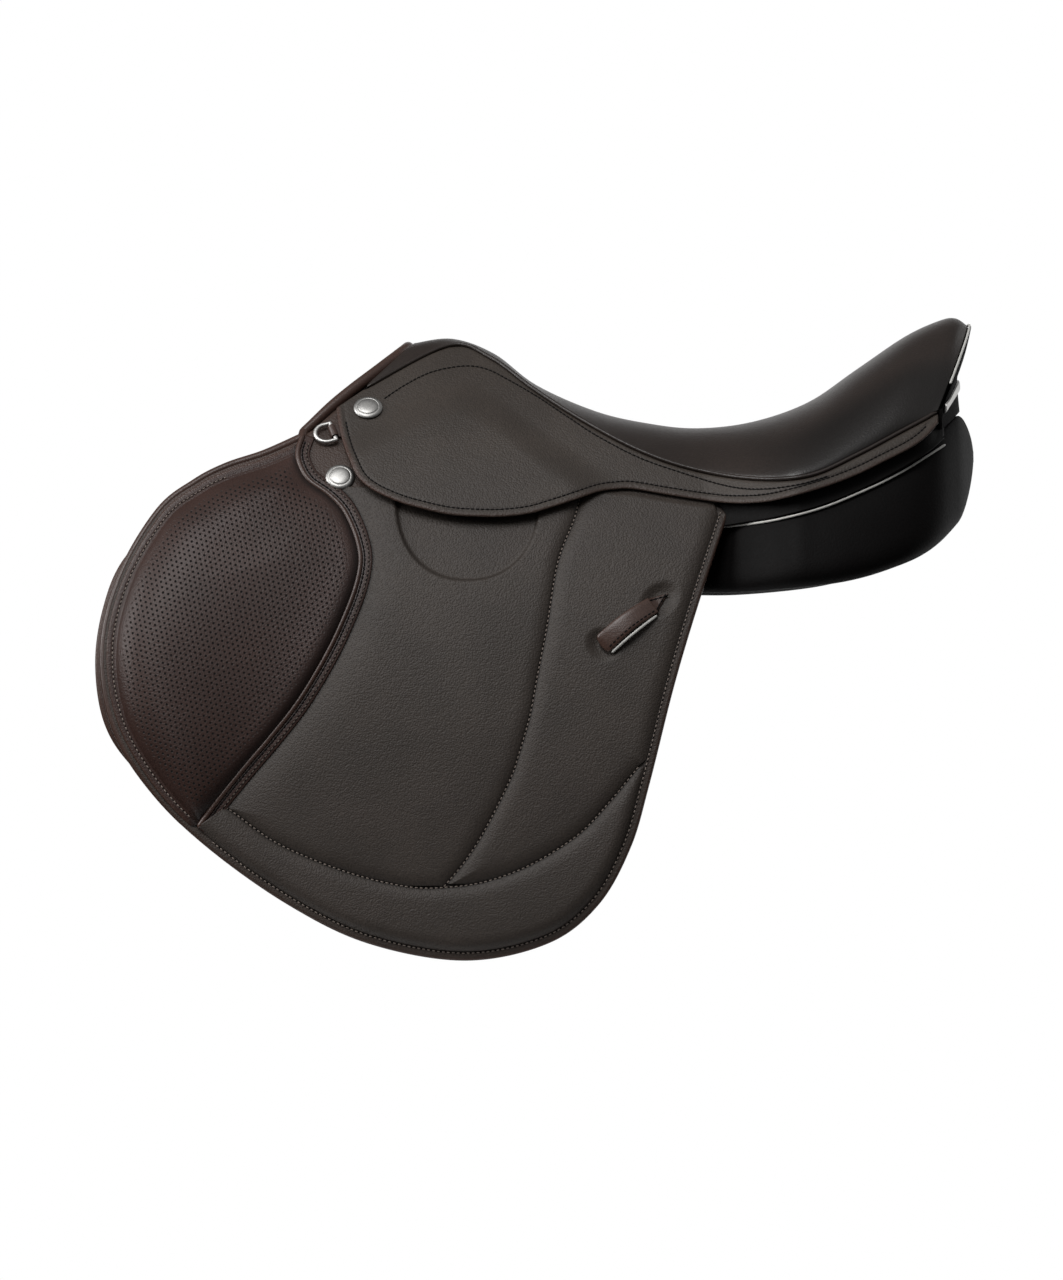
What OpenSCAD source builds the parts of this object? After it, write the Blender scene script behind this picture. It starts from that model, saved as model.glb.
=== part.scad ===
// Jumping saddle with a moderately deep seat, forward flaps and padded knee supports.
// Frame: +X runs to the rear, +Z up, the near (left) side is at negative Y.
// The origin lies on the horse's back, under the lowest point of the seat.
// Most pieces are leather layers on the saddle's sides. A layer is an outline in X and Z,
// and its depth d is counted from the flap's outer face, outwards positive.

/* [Sides] */
// Half breadth that the sides reach far below the ridge
flank_breadth = 208; // [198:1:220]
// Fall in which the sides turn from the ridge towards upright
flank_fall = 160; // [150:1:172]
// Height over the horse's back at which both sides would meet
ridge_z = 158; // [154:1:166]
// Extra half breadth at the rear of the seat
rear_widening = 36; // [26:1:44]
// Length over which the rear widening builds up
widening_run = 70; // [55:1:85]

/* [Seat] */
// Length of the seat from the pommel to the cantle rim
seat_length = 396; // [370:1:420]
// Forward reach of the pommel from the seat's lowest point
seat_reach = 202; // [190:1:214]
// Height of the seat's lowest point over the horse's back
seat_low_z = 78; // [70:1:86]
// Rise of the cantle over the lowest point
cantle_rise = 79; // [68:1:88]
// Thickness of the seat leather
seat_leather = 2.5; // [1.5:0.1:3.5]
// Thickness of the seat foam in the middle
foam_depth = 16; // [10:0.5:18]
// Thickness of the seat foam at the pommel
foam_front_depth = 5; // [3:0.5:8]
// Thickness of the seat webbing
web_depth = 2; // [1.2:0.1:3]
// Height of the leather back of the cantle at the centre
cantle_back_height = 62; // [54:1:68]
// Height of the plate round the cantle
plate_height = 7; // [5:0.5:8]
// Thickness of the metal cantle plate
plate_depth = 1.2; // [0.8:0.1:2]

/* [Skirt] */
// Reach of the skirt ahead of the seat
skirt_fore = 54.5; // [50:0.5:58]
// Height of the skirt from its belly to its front corner
skirt_height = 82; // [76:1:88]
// Height of the skirt's lowest edge over the horse's back
skirt_low_z = 11.5; // [10:0.5:14]
// Thickness of the skirt leather
skirt_leather = 3.2; // [2.4:0.1:4]
// Room under the skirt along its sewn upper edge
skirt_base = 3; // [2.8:0.1:4]
// Extra room under the skirt's belly for the stirrup bar
skirt_standoff = 5.5; // [5:0.1:7]

/* [Flap] */
// Length of the flap from its front edge to its rear corner
flap_length = 435; // [410:1:455]
// Height of the flap from its lowest point to its front corner
flap_drop = 363; // [345:1:385]
// Reach of the flap ahead of the seat
flap_fore = 214; // [208:1:220]
// Depth of the flap's lowest point under the horse's back
flap_low = 294; // [280:1:310]
// Height of the line along which the flap bends up
bend_z = 2; // [0:0.5:4]
// Thickness of the flap with its lining
flap_leather = 5; // [4:0.1:6]
// Rise of the knee support over the flap
knee_rise = 14; // [9:0.5:18]
// Rise of the sewn leather panels over the flap
panel_rise = 3; // [1.5:0.1:4]
// Margin of bare edge round the sewn panels
edge_margin = 6.5; // [5:0.1:8]
// Width of the keeper strap
keeper_width = 14.5; // [12:0.5:18]
// Length of the keeper strap
keeper_length = 46; // [38:1:52]
// Free height under the keeper strap
keeper_rise = 6.5; // [5.5:0.1:9]
// Thickness of the keeper strap
keeper_leather = 2.2; // [1.6:0.1:3]

/* [Under the flap] */
// Free room between flap and billets
billet_room = 5.5; // [5:0.1:8]
// Thickness of a billet strap
billet_leather = 4; // [3:0.1:5]
// Width of a billet strap
billet_width = 25; // [22:0.5:28]
// Length of a billet strap
billet_length = 246; // [220:1:250]
// Distance between neighbouring billets
billet_pitch = 40; // [36:1:46]
// Place of the middle billet behind the seat's front
billet_back = 57; // [52:1:62]
// Diameter of a billet hole
hole_d = 5; // [4:0.1:6]
// Distance between neighbouring billet holes
hole_pitch = 25; // [20:0.5:26]
// Number of holes in a billet
hole_count = 7; // [5:1:8]
// Thickness of the sweat flap
sweat_leather = 4; // [3:0.1:5]
// Rise of the front and rear blocks over the sweat flap
block_rise = 13; // [9:0.5:14]

/* [Tree] */
// Height of the tree's head over the horse's back
head_z = 129; // [124:1:131]
// Thickness of the head at its crown
head_depth = 9; // [7:0.5:10]
// Thickness of the tree points at their ends
point_depth = 4.5; // [3.5:0.1:5]
// Depth to which the tree points reach under the horse's back
point_low = 28; // [20:1:36]
// Length of the head along the saddle
head_length = 27; // [22:0.5:30]
// Forward lean of the head for each unit of fall
head_lean = 0.36; // [0.3:0.01:0.4]
// Width of a tree rail
rail_width = 26; // [20:0.5:28]
// Distance of the rails from the middle at their widest
rail_spread = 90; // [84:1:94]
// Thickness of a tree rail
rail_depth = 10; // [8:0.5:11]
// Thickness of the steel plates and springs
steel_depth = 2.5; // [1.5:0.1:3]
// Thickness of the cantle board
cantle_depth = 9; // [7:0.5:11]

/* [Panels] */
// Reach of the panels ahead of the seat
panel_fore = 79; // [74:1:82]
// Reach of the panels behind the cantle's rim
panel_aft = 2; // [0:0.5:4]
// Height over which a panel extends
panel_height = 150; // [140:1:152]
// Depth of a panel's lowest corner under the horse's back
panel_low = 66; // [60:1:72]
// Half width of the channel between the panels
channel_half = 34; // [28:0.5:38]

/* [Fittings] */
// Diameter of the stirrup bar
bar_d = 9; // [8:0.1:9.5]
// Length of the stirrup bar
bar_length = 60; // [54:0.5:64]
// Room behind the stirrup bar for the leather
bar_room = 8.5; // [7.5:0.1:9]
// Thickness of the bar's catch
catch_depth = 3.4; // [2.5:0.1:4]
// Length of the bar's catch
catch_length = 19; // [15:0.5:21]
// Diameter of the catch's pin
catch_pin_d = 3; // [2.5:0.1:3.5]
// Diameter of the dee's wire
dee_wire = 3; // [2.6:0.1:3.2]
// Width of the dee between the middles of its legs
dee_width = 15.5; // [14:0.5:17]
// Length of the dee's straight legs
dee_leg = 5; // [4:0.5:6]
// Slope of the dee, which hangs forwards and down
dee_tilt = 18; // [10:1:22]
// Diameter of a nail head
nail_d = 20.5; // [17:0.5:22]
// Height of a nail head
nail_rise = 3; // [2:0.1:4]
// Diameter of a nail shank
nail_shank_d = 4; // [3:0.1:5]
// Thickness of the roll on the pommel
roll_d = 7; // [6:0.5:8]

/* [Fit] */
// Clearance between sewn or stacked layers
layer_gap = 0.5; // [0.4:0.05:0.7]
// Clearance between pieces that slide past each other
slide_gap = 1; // [0.9:0.05:1.2]
// Clearance round pins in their bores
pin_gap = 0.3; // [0.25:0.01:0.35]

/* [Hidden] */
$fn = 48;

// Reaches that follow the seat
flap_reach = seat_reach + flap_fore;
panel_length = seat_length + panel_fore + panel_aft;
panel_reach = seat_reach + panel_fore;
billet_reach = seat_reach - billet_back;
head_x = -seat_reach + 2 * layer_gap;
widening_share = 0.51;
// Depths of the layers, counted from the flap's outer face
flap_in = -flap_leather;
billet_upper_out = flap_in - billet_room;
billet_upper_in = billet_upper_out - billet_leather;
billet_lower_out = billet_upper_in - slide_gap;
billet_lower_in = billet_lower_out - billet_leather;
sweat_out = billet_lower_in - slide_gap;
sweat_in = sweat_out - sweat_leather;
tree_out = -2 * flap_leather + layer_gap;
seat_edge = skirt_base + skirt_leather;
welt_gap = seat_leather + layer_gap;
cut = 2 * flap_leather;

// Common formulas
function lerp(a, b, t) = a + (b - a) * t;
function limit(t) = min(max(t, 0), 1);
function smooth(t) = let (u = limit(t)) u * u * (3 - 2 * u);
function total(v) = v * [for (x = v) 1];
function flat(rows) = [for (row = rows) each row];
function curve_point(a, b, c, d, t) =
    0.5 * (2 * b + (c - a) * t + (2 * a - 5 * b + 4 * c - d) * t * t + (3 * b - a - 3 * c + d) * t * t * t);
// Smooth open curve through the points, with the given steps between neighbours
function curve(p, steps) = let (n = len(p)) concat(
    [for (i = [0:n - 2]) for (k = [0:steps - 1])
        curve_point(p[max(i - 1, 0)], p[i], p[i + 1], p[min(i + 2, n - 1)], k / steps)], [p[n - 1]]);
// Exactly n + 1 points, evenly spread over a curve's own points
function spread(c, n) = [for (i = [0:n]) let (t = i / n * (len(c) - 1), k = min(floor(t), len(c) - 2))
    lerp(c[k], c[k + 1], t - k)];
function swapped(c) = [for (p = c) [p[1], p[0]]];
// Power that keeps zero at zero
function power(t, e) = t <= 0 ? 0 : pow(t, e);

// Half breadth of a side at height z, and at the rear where the seat widens
function side(z) = flank_breadth * (1 - exp((z - ridge_z) / flank_fall));
function side_slope(z) = flank_breadth / flank_fall * exp((z - ridge_z) / flank_fall);
function flank(x, z) = side(z) + rear_widening * smooth((x - seat_x(widening_share)) / widening_run);
function on_side(x, z, d) = [x, -(side(z) + d), z];
function on_flank(x, z, d) = [x, -(flank(x, z) + d), z];

// Solids from grids and rings, with faces turned outwards
function volume6(p, f) = total([for (t = f) cross(p[t[0]], p[t[1]]) * p[t[2]]]);
function outward(p, f) = volume6(p, f) > 0 ? [for (t = f) [t[2], t[1], t[0]]] : f;
function grid_faces(r, c, base, turned) = [for (i = [0:r - 2]) for (j = [0:c - 2])
    let (a = base + i * c + j, b = a + 1, e = a + c, f = e + 1)
    each turned ? [[a, e, b], [b, e, f]] : [[a, b, e], [b, f, e]]];
function rim(r, c) = concat([for (j = [0:c - 1]) j], [for (i = [1:r - 1]) i * c + c - 1],
    [for (j = [c - 2:-1:0]) (r - 1) * c + j], [for (i = [r - 2:-1:1]) i * c]);
// Closed solid between two grids of points
module shell(outer, inner) {
    r = len(outer);
    c = len(outer[0]);
    n = r * c;
    edge = rim(r, c);
    m = len(edge);
    points = concat(flat(outer), flat(inner));
    walls = [for (k = [0:m - 1]) let (a = edge[k], b = edge[(k + 1) % m])
        each [[a, n + a, b], [b, n + a, n + b]]];
    faces = concat(grid_faces(r, c, 0, false), grid_faces(r, c, n, true), walls);
    polyhedron(points, outward(points, faces));
}
// Closed solid through rings of points, each ring convex
module loft(rings) {
    n = len(rings);
    m = len(rings[0]);
    last = (n - 1) * m;
    points = flat(rings);
    sides = [for (i = [0:n - 2]) for (j = [0:m - 1])
        let (a = i * m + j, b = i * m + (j + 1) % m, e = a + m, f = b + m) each [[a, b, e], [b, f, e]]];
    caps = [for (j = [1:m - 2]) each [[0, j + 1, j], [last, last + j, last + j + 1]]];
    faces = concat(sides, caps);
    polyhedron(points, outward(points, faces));
}
// Leather layer between the outline's edges a and b, with depths given by functions
module layer(a, b, steps, inner, outer) {
    function at(i, j, depth) = let (u = i / (len(a) - 1), v = j / steps, p = lerp(a[i], b[i], v))
        on_side(p[0], p[1], depth(u, v));
    function sheet(depth) = [for (i = [0:len(a) - 1]) [for (j = [0:steps]) at(i, j, depth)]];
    shell(sheet(outer), sheet(inner));
}
function even(d) = function(u, v) d;
// Swelling that is zero on the outline and one inside, steeper with a higher power
function swell(t, e) = 1 - pow(abs(2 * t - 1), e);
function padded(d, rise, e) = function(u, v) d + rise * swell(u, e) * swell(v, e);
module off_side() mirror([0, 1, 0]) children();

// Seat: rows of crown and edge places, as shares of the seat's length and the cantle's rise
seat_row_shares = [[0, 0.778, -0.0833, 0.361], [0.068, 0.816, 0.061, 0.753], [0.144, 0.677, 0.139, 0.633],
    [0.22, 0.389, 0.217, 0.335], [0.328, 0.152, 0.306, 0.038], [0.422, 0.044, 0.404, -0.228],
    [0.51, 0, 0.497, -0.392], [0.611, 0.057, 0.611, -0.49], [0.712, 0.234, 0.7, -0.462],
    [0.8, 0.532, 0.783, -0.278], [0.889, 0.835, 0.859, -0.076], [0.952, 0.981, 0.904, 0.044],
    [0.98, 1, 0.919, 0.089], [1, 0.937, 0.928, 0.108]];
seat_crown_power = 2.3;
seat_columns = 14;
function seat_x(s) = -seat_reach + s * seat_length;
function seat_z(s) = seat_low_z + s * cantle_rise;
seat_rows = curve([for (s = seat_row_shares) [seat_x(s[0]), seat_z(s[1]), seat_x(s[2]), seat_z(s[3])]], 2);
seat_edge_line = [for (r = seat_rows) [r[2], r[3]]];
// Point of the seat at row r and share u across, sunk to a depth under the leather's top
function seat_point(r, u, depth) =
    let (half = flank(r[2], r[3]) + seat_edge, fall = r[1] - r[3], w = power(abs(u), seat_crown_power),
         tilt = seat_crown_power * fall * power(abs(u), seat_crown_power - 1) * sign(u),
         size = norm([tilt, half]))
    [lerp(r[0], r[2], w), half * u - depth * tilt / size, r[1] - fall * w - depth * half / size];
function seat_sheet(rows, reach, columns, depth) = [for (i = [0:len(rows) - 1])
    [for (j = [0:columns]) let (u = reach * (2 * j / columns - 1), t = i / (len(rows) - 1))
        seat_point(rows[i], u, depth(t, u))]];
foam_top = seat_leather + layer_gap;
foam_edge_share = 0.35;
foam_reach_share = 0.985;
foam_rows = [for (i = [0:len(seat_rows) - 4]) seat_rows[i]];
foam_front_share = 0.333;
foam_edge_power = 4;
function foam_at(t, u) = lerp(foam_front_depth, foam_depth, smooth(t / foam_front_share))
    * lerp(1, foam_edge_share, power(abs(u), foam_edge_power));
web_reach_share = 0.4;
web_rows = [for (i = [3:len(seat_rows) - 6]) seat_rows[i]];
function web_top(t, u) = foam_top + layer_gap
    + foam_at(lerp(3, len(seat_rows) - 6, t) / (len(foam_rows) - 1), u);

module seat_cover() color("#2e2723")
    shell(seat_sheet(seat_rows, 1, seat_columns, even(0)),
          seat_sheet(seat_rows, 1, seat_columns, even(seat_leather)));
module seat_foam() color("#d8c890")
    shell(seat_sheet(foam_rows, foam_reach_share, seat_columns, even(foam_top)),
          seat_sheet(foam_rows, foam_reach_share, seat_columns, function(t, u) foam_top + foam_at(t, u)));
module seat_webbing() color("#b9ac8c")
    shell(seat_sheet(web_rows, web_reach_share, 6, function(t, u) web_top(t, u)),
          seat_sheet(web_rows, web_reach_share, 6, function(t, u) web_top(t, u) + web_depth));

// Back of the cantle: centre line and ends as shares of the back's height
back_shares = [[0.06, 0.005], [0, 0.25], [-0.1, 0.53], [-0.1, 0.77], [-0.08, 1]];
back_end_share = 0.22;
back_columns = 16;
back_x = seat_x(1);
back_z = seat_z(seat_row_shares[13][1]);
back_end_x = seat_x(seat_row_shares[13][2]);
back_end_z = seat_z(seat_row_shares[13][3]);
back_half = flank(back_end_x, back_end_z) + seat_edge;
function back_point(s, u, out) =
    let (w = power(abs(u), seat_crown_power), end_x = back_end_x + welt_gap,
         mid_x = back_x + welt_gap + (s[0] - back_shares[0][0]) * cantle_back_height,
         turn = seat_crown_power * (mid_x - end_x) * power(abs(u), seat_crown_power - 1) * sign(u),
         size = norm([turn, back_half]))
    [lerp(mid_x, end_x, w) + out * back_half / size, back_half * u + out * turn / size,
     lerp(back_z - s[1] * cantle_back_height, back_end_z - s[1] * back_end_share * cantle_back_height, w)];
function back_sheet(shares, reach, out) = [for (s = shares)
    [for (j = [0:back_columns]) back_point(s, reach * (2 * j / back_columns - 1), out)]];
plate_drop = welt_gap + 2 * layer_gap;
plate_drop_share = 0.64;
plate_reach_share = 0.98;
function back_height(u) = cantle_back_height * lerp(1, back_end_share, power(abs(u), seat_crown_power));
// Point of the plate at its upper edge k = 0 or its lower edge k = 1
function plate_point(k, u, out) =
    let (mid = plate_drop_share * cantle_back_height, w = power(abs(u), seat_crown_power),
         s = (lerp(mid, plate_drop, w) + k * plate_height) / back_height(u))
    back_point([lookup(s, swapped(back_shares)), s], u, out);
function plate_sheet(out) = [for (k = [0, 1])
    [for (j = [0:back_columns]) plate_point(k, plate_reach_share * (2 * j / back_columns - 1), out)]];
module cantle_back() color("#2b211d")
    shell(back_sheet(curve(back_shares, 2), 1, 0), back_sheet(curve(back_shares, 2), 1, -seat_leather));
module cantle_plate() color("#c9ccd0")
    shell(plate_sheet(layer_gap + plate_depth), plate_sheet(layer_gap));

// Skirt: edges as shares of its length and height
skirt_front_shares = [[0, 0.951], [0.045, 1.115]];
skirt_edge_shares = [[0.001, 0.939], [0.006, 0.787], [0.0147, 0.622], [0.026, 0.482], [0.042, 0.328],
    [0.067, 0.223], [0.107, 0.128], [0.147, 0.068], [0.192, 0.017], [0.238, 0], [0.282, 0], [0.3235, 0.026],
    [0.353, 0.068], [0.3995, 0.146], [0.439, 0.215], [0.467, 0.237], [0.494, 0.24], [0.548, 0.193],
    [0.604, 0.148], [0.657, 0.115], [0.711, 0.121], [0.764, 0.178], [0.8185, 0.263], [0.865, 0.357],
    [0.9, 0.445], [0.953, 0.585], [0.981, 0.69], [1, 0.8]];
fold_shares = [[0.0147, 0.622], [0.452, 0.232]];
skirt_x0 = -seat_reach - skirt_fore;
skirt_length = back_end_x - skirt_x0;
function skirt_pt(s) = [skirt_x0 + s[0] * skirt_length, skirt_low_z + s[1] * skirt_height];
skirt_edge = curve([for (s = skirt_edge_shares) skirt_pt(s)], 3);
skirt_top = concat([for (s = skirt_front_shares) skirt_pt(s)],
    [for (p = seat_edge_line) if (p[0] > skirt_pt(skirt_front_shares[1])[0]) [p[0], p[1] - welt_gap]]);
fold_a = skirt_pt(fold_shares[0]);
fold_b = skirt_pt(fold_shares[1]);
function fold_z(x) = lerp(fold_a[1], fold_b[1], (x - fold_a[0]) / (fold_b[0] - fold_a[0]));
standoff_start_share = 0.38;
standoff_end_share = 0.52;
standoff_top_share = 0.28;
standoff_fall_share = 0.36;
function skirt_in(x, z) = skirt_base + skirt_standoff
    * smooth(((lookup(x, skirt_top) - z) / skirt_height - standoff_top_share) / standoff_fall_share)
    * (1 - smooth(((x - skirt_x0) / skirt_length - standoff_start_share)
        / (standoff_end_share - standoff_start_share)));
// Skirt sheet between two edges in X and Z, at a height over its inner face
module skirt_sheet(a, b, steps) {
    function sheet(rise) = [for (i = [0:len(a) - 1]) [for (j = [0:steps])
        let (p = lerp(a[i], b[i], j / steps)) on_flank(p[0], p[1], skirt_in(p[0], p[1]) + rise)]];
    shell(sheet(skirt_leather), sheet(0));
}
skirt_columns = 38;
crowding = 1.5;
skirt_xs = [for (i = [0:skirt_columns]) skirt_x0 + skirt_edge_shares[0][0] * skirt_length
    + pow(i / skirt_columns, crowding) * (1 - skirt_edge_shares[0][0]) * skirt_length];
function skirt_low_at(x) = x > fold_a[0] && x < fold_b[0] ? fold_z(x) + layer_gap : lookup(x, skirt_edge);
lobe_columns = 18;
lobe_xs = [for (i = [0:lobe_columns])
    lerp(fold_a[0] + layer_gap, fold_b[0] - 8 * layer_gap, pow(i / lobe_columns, crowding))];

// Places of the fittings
bar_height_share = 0.25;
skirt_nail_share = [0.054, 0.952];
dee_share = [-0.0035, 0.72];
dee_at = skirt_pt(dee_share);
bar_z = skirt_low_z + bar_height_share * skirt_height;
bar_at = [head_x - head_lean * (head_z - bar_z) + head_length + 2 * layer_gap, bar_z];
skirt_nail_at = skirt_pt(skirt_nail_share);
skirt_nail_d = skirt_base + skirt_leather + 2 * layer_gap;
skirt_shank = skirt_leather + layer_gap;
flap_nail_d = 2 * layer_gap;
flap_shank = flap_leather / 2;
module nail_hole() cylinder(d = nail_shank_d + 2 * pin_gap, h = 4 * cut, center = true);
// Frame on the side at x and z, hand 1 on the near side and -1 on the off side:
// local x stays, local y runs up the near leather or down the off leather, local z points outwards
module placed(x, z, d, hand) translate([x, -hand * (side(z) + d), z])
    rotate([hand * (90 - atan(side_slope(z))), 0, 0]) children();

module skirt() color("#3b3531") difference() {
    skirt_sheet([for (x = skirt_xs) [x, lookup(x, skirt_top)]], [for (x = skirt_xs) [x, skirt_low_at(x)]], 3);
    placed(skirt_nail_at[0], skirt_nail_at[1], skirt_nail_d, 1) nail_hole();
}
module skirt_lobe() color("#3b3531")
    skirt_sheet([for (x = lobe_xs) [x, fold_z(x) - layer_gap]],
                [for (x = lobe_xs) [x, lookup(x, skirt_edge)]], 3);

// Flap: edges and seams as shares of its length and drop
flap_front_shares = [[0.31, 1], [0.19, 0.945], [0.083, 0.85], [0.025, 0.73], [0, 0.59], [0.02, 0.445],
    [0.085, 0.315], [0.172, 0.213], [0.3, 0.105], [0.427, 0.032], [0.579, 0]];
flap_rear_shares = [[0.579, 0], [0.71, 0.032], [0.79, 0.105], [0.841, 0.213], [0.871, 0.333], [0.91, 0.515],
    [0.9485, 0.667], [1, 0.8485]];
knee_seam_shares = [[0.403, 0.8154], [0.4115, 0.774], [0.406, 0.728], [0.389, 0.659], [0.3595, 0.581],
    [0.316, 0.492], [0.2736, 0.4256], [0.23, 0.3636], [0.1885, 0.3014], [0.158, 0.26]];
hem_seam_shares = [[0.199, 0.289], [0.2115, 0.281], [0.276, 0.226], [0.347, 0.187], [0.4207, 0.157],
    [0.492, 0.139], [0.545, 0.138], [0.6115, 0.149], [0.685, 0.182], [0.7575, 0.237], [0.8046, 0.295],
    [0.854, 0.366]];
thigh_seam_shares = [[0.754, 0.843], [0.7264, 0.755], [0.7087, 0.631], [0.694, 0.54], [0.6816, 0.4614],
    [0.664, 0.388], [0.6506, 0.3416], [0.6115, 0.248], [0.579, 0.187], [0.545, 0.138]];
recess_shares = [[0.469, 0.8595], [0.498, 0.791], [0.5195, 0.76], [0.554, 0.7336], [0.594, 0.7245],
    [0.632, 0.7317], [0.666, 0.7567], [0.6864, 0.7857], [0.698, 0.8245]];
function flap_pt(s) = [s[0] * flap_length - flap_reach, s[1] * flap_drop - flap_low];
function flap_curve(shares) = curve([for (s = shares) flap_pt(s)], 5);
flap_front = flap_curve(flap_front_shares);
flap_rear = flap_curve(flap_rear_shares);
knee_seam = flap_curve(knee_seam_shares);
hem_seam = flap_curve(hem_seam_shares);
thigh_seam = flap_curve(thigh_seam_shares);
recess = flap_curve(recess_shares);
function front_x(z) = lookup(z, swapped(flap_front));
function rear_x(z) = lookup(z, swapped(flap_rear));
// Heights from low to high, closer together near the low end
function rows_up(low, high, n) = [for (i = [0:n]) lerp(low, high, 1 - cos(90 * i / n))];
flap_tip_share = 0.0012;
flap_rows = rows_up(flap_tip_share * flap_drop - flap_low, bend_z - layer_gap, 26);
module flap() color("#3a3430")
    layer([for (z = flap_rows) [front_x(z), z]], [for (z = flap_rows) [rear_x(z), z]], 2,
          even(flap_in), even(0));

// Roll on the pommel's front edge: heights and places as shares between the flap's corner and the seat
roll_shares = [[0, 1], [0.254, 0.767], [0.488, 0.528], [0.706, 0.288], [0.934, 0.05], [1, 0]];
roll_sink = 0.75 * roll_d;
roll_top_z = seat_z(seat_row_shares[0][1]) - roll_d / 2;
roll_top_x = -seat_reach - roll_d / 2 - 3 * layer_gap;
flap_corner = flap_pt(flap_front_shares[0]);
roll_low_z = flap_corner[1] + roll_d / 2;
roll_low_x = flap_corner[0] + roll_d / 3;
roll_line = curve([for (s = roll_shares)
    [lerp(roll_low_z, roll_top_z, s[0]), lerp(roll_top_x, roll_low_x, s[1])]], 3);
function roll_x(z) = lookup(z, roll_line);
roll_edge_z = seat_rows[0][3] - roll_d / 2;
roll_edge_half = flank(seat_rows[0][2], seat_rows[0][3]) + seat_edge - roll_d / 2;
// Half breadth of the roll: along the seat's front edge, then drawn into the flap's corner
function roll_half(z) = z > roll_edge_z
    ? roll_edge_half * power(limit((roll_top_z - z) / (roll_top_z - roll_edge_z)), 1 / seat_crown_power)
    : side(z) + lerp(-roll_sink, roll_edge_half - side(roll_edge_z),
        limit((z - roll_low_z) / (roll_edge_z - roll_low_z)));

// Upper part of the flap, which stays nailed to the tree
head_top_share = 1.043;
head_lug_shares = [[0.163, 0.903], [0.364, 0.965], [0.565, 0.972], [0.789, 0.729], [0.939, 0.382], [1, 0]];
head_step = 2 * layer_gap;
head_low_z = bend_z - layer_gap / 3;
head_top_z = skirt_low_z + head_top_share * skirt_height;
head_top_x = roll_x(head_top_z) + 4 * roll_d / 3;
// Notch round the stirrup bar and its catch, and the corner behind it
notch_room = 4 * bar_d / 3;
notch_front_x = bar_at[0] - notch_room;
notch_rear_x = bar_at[0] + bar_length + catch_length + 2 * layer_gap;
notch_z = bar_z - notch_room;
lug_top_z = bar_z + notch_room;
flap_rear_corner = flap_pt(flap_rear_shares[7]);
// Top of the nailed part: up the flap's front edge, behind the roll and down round the stirrup bar
head_top_line = concat(
    [for (i = [len(flap_front) - 1:-1:0]) if (flap_front[i][1] > head_low_z + head_step) flap_front[i]],
    [[roll_low_x + roll_d, flap_corner[1]]],
    [for (i = [1:4]) let (z = lerp(roll_low_z, head_top_z, i / 4)) [roll_x(z) + roll_d, z]],
    [for (i = [0:2]) lerp([head_top_x, head_top_z], [notch_front_x, bar_z], i / 2)],
    [[notch_front_x + notch_room, notch_z], [notch_rear_x, notch_z]],
    [for (s = head_lug_shares)
        [lerp(notch_rear_x, flap_rear_corner[0], s[0]), lerp(flap_rear_corner[1], lug_top_z, s[1])]]);
flap_nail_share = 0.376;
flap_nail_height_share = 0.345;
flap_nail_at = [flap_nail_share * flap_length - flap_reach, skirt_low_z + flap_nail_height_share * skirt_height];
module flap_head() color("#3a3430") difference() {
    layer([for (p = head_top_line) [p[0], head_low_z]], head_top_line, 6, even(flap_in), even(0));
    placed(flap_nail_at[0], flap_nail_at[1], flap_nail_d, 1) nail_hole();
}

// Padded knee support, sewn panels and hem
sew_top_z = bend_z - edge_margin;
knee_low_z = knee_seam[len(knee_seam) - 1][1];
knee_rows = [for (i = [0:16]) lerp(knee_low_z, sew_top_z, i / 16)];
knee_edge_rise = 2.5 * layer_gap;
pad_power = 2.4;
panel_power = 6;
module knee_pad() color("#3d2f29")
    layer([for (z = knee_rows) [front_x(z) + edge_margin, z]],
          [for (z = knee_rows) [lookup(z, swapped(knee_seam)), z]], 8,
          even(layer_gap), padded(layer_gap + knee_edge_rise, knee_rise, pad_power));
front_panel_x0 = flap_pt(hem_seam_shares[0])[0] + edge_margin;
front_panel_x1 = flap_pt(thigh_seam_shares[1])[0] - edge_margin / 2;
knee_inner = [for (p = knee_seam) if (p[1] < flap_pt(knee_seam_shares[1])[1]) p];
knee_nose_x = flap_pt(knee_seam_shares[1])[0];
thigh_low_x = flap_pt(thigh_seam_shares[9])[0];
front_bend_x = knee_nose_x + edge_margin;
front_xs = concat([for (i = [0:15]) lerp(front_bend_x, front_panel_x0, pow(1 - i / 16, crowding))],
    [for (i = [0:10]) lerp(front_panel_x1, front_bend_x, pow(1 - i / 10, crowding))]);
function front_top_z(x) = x - edge_margin < knee_nose_x ? lookup(x - edge_margin, knee_inner)
    : min(sew_top_z, lookup(x, recess) - edge_margin / 2);
function front_low_z(x) = (x < thigh_low_x ? lookup(x, hem_seam) : lookup(x, thigh_seam)) + edge_margin / 3;
module thigh_panel_front() color("#3d3733")
    layer([for (x = front_xs) [x, min(front_top_z(x), sew_top_z)]],
          [for (x = front_xs) [x, front_low_z(x)]], 8,
          even(2 * layer_gap), padded(3 * layer_gap, panel_rise, panel_power));
rear_low_z = flap_pt(thigh_seam_shares[9])[1] + edge_margin;
rear_rows = [for (i = [0:16]) lerp(rear_low_z, sew_top_z, i / 16)];
function rear_panel_x(z) = z > hem_seam[len(hem_seam) - 1][1] ? rear_x(z) - edge_margin
    : min(rear_x(z) - edge_margin, lookup(z, swapped(hem_rise)) - edge_margin / 3);
module thigh_panel_rear() color("#3d3733")
    layer([for (z = rear_rows) [lookup(z, swapped(thigh_seam)) + edge_margin / 3, z]],
          [for (z = rear_rows) [rear_panel_x(z), z]], 5,
          even(layer_gap), padded(2 * layer_gap, panel_rise, panel_power));
hem_rise = [for (p = hem_seam) if (p[0] > thigh_low_x) p];
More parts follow.
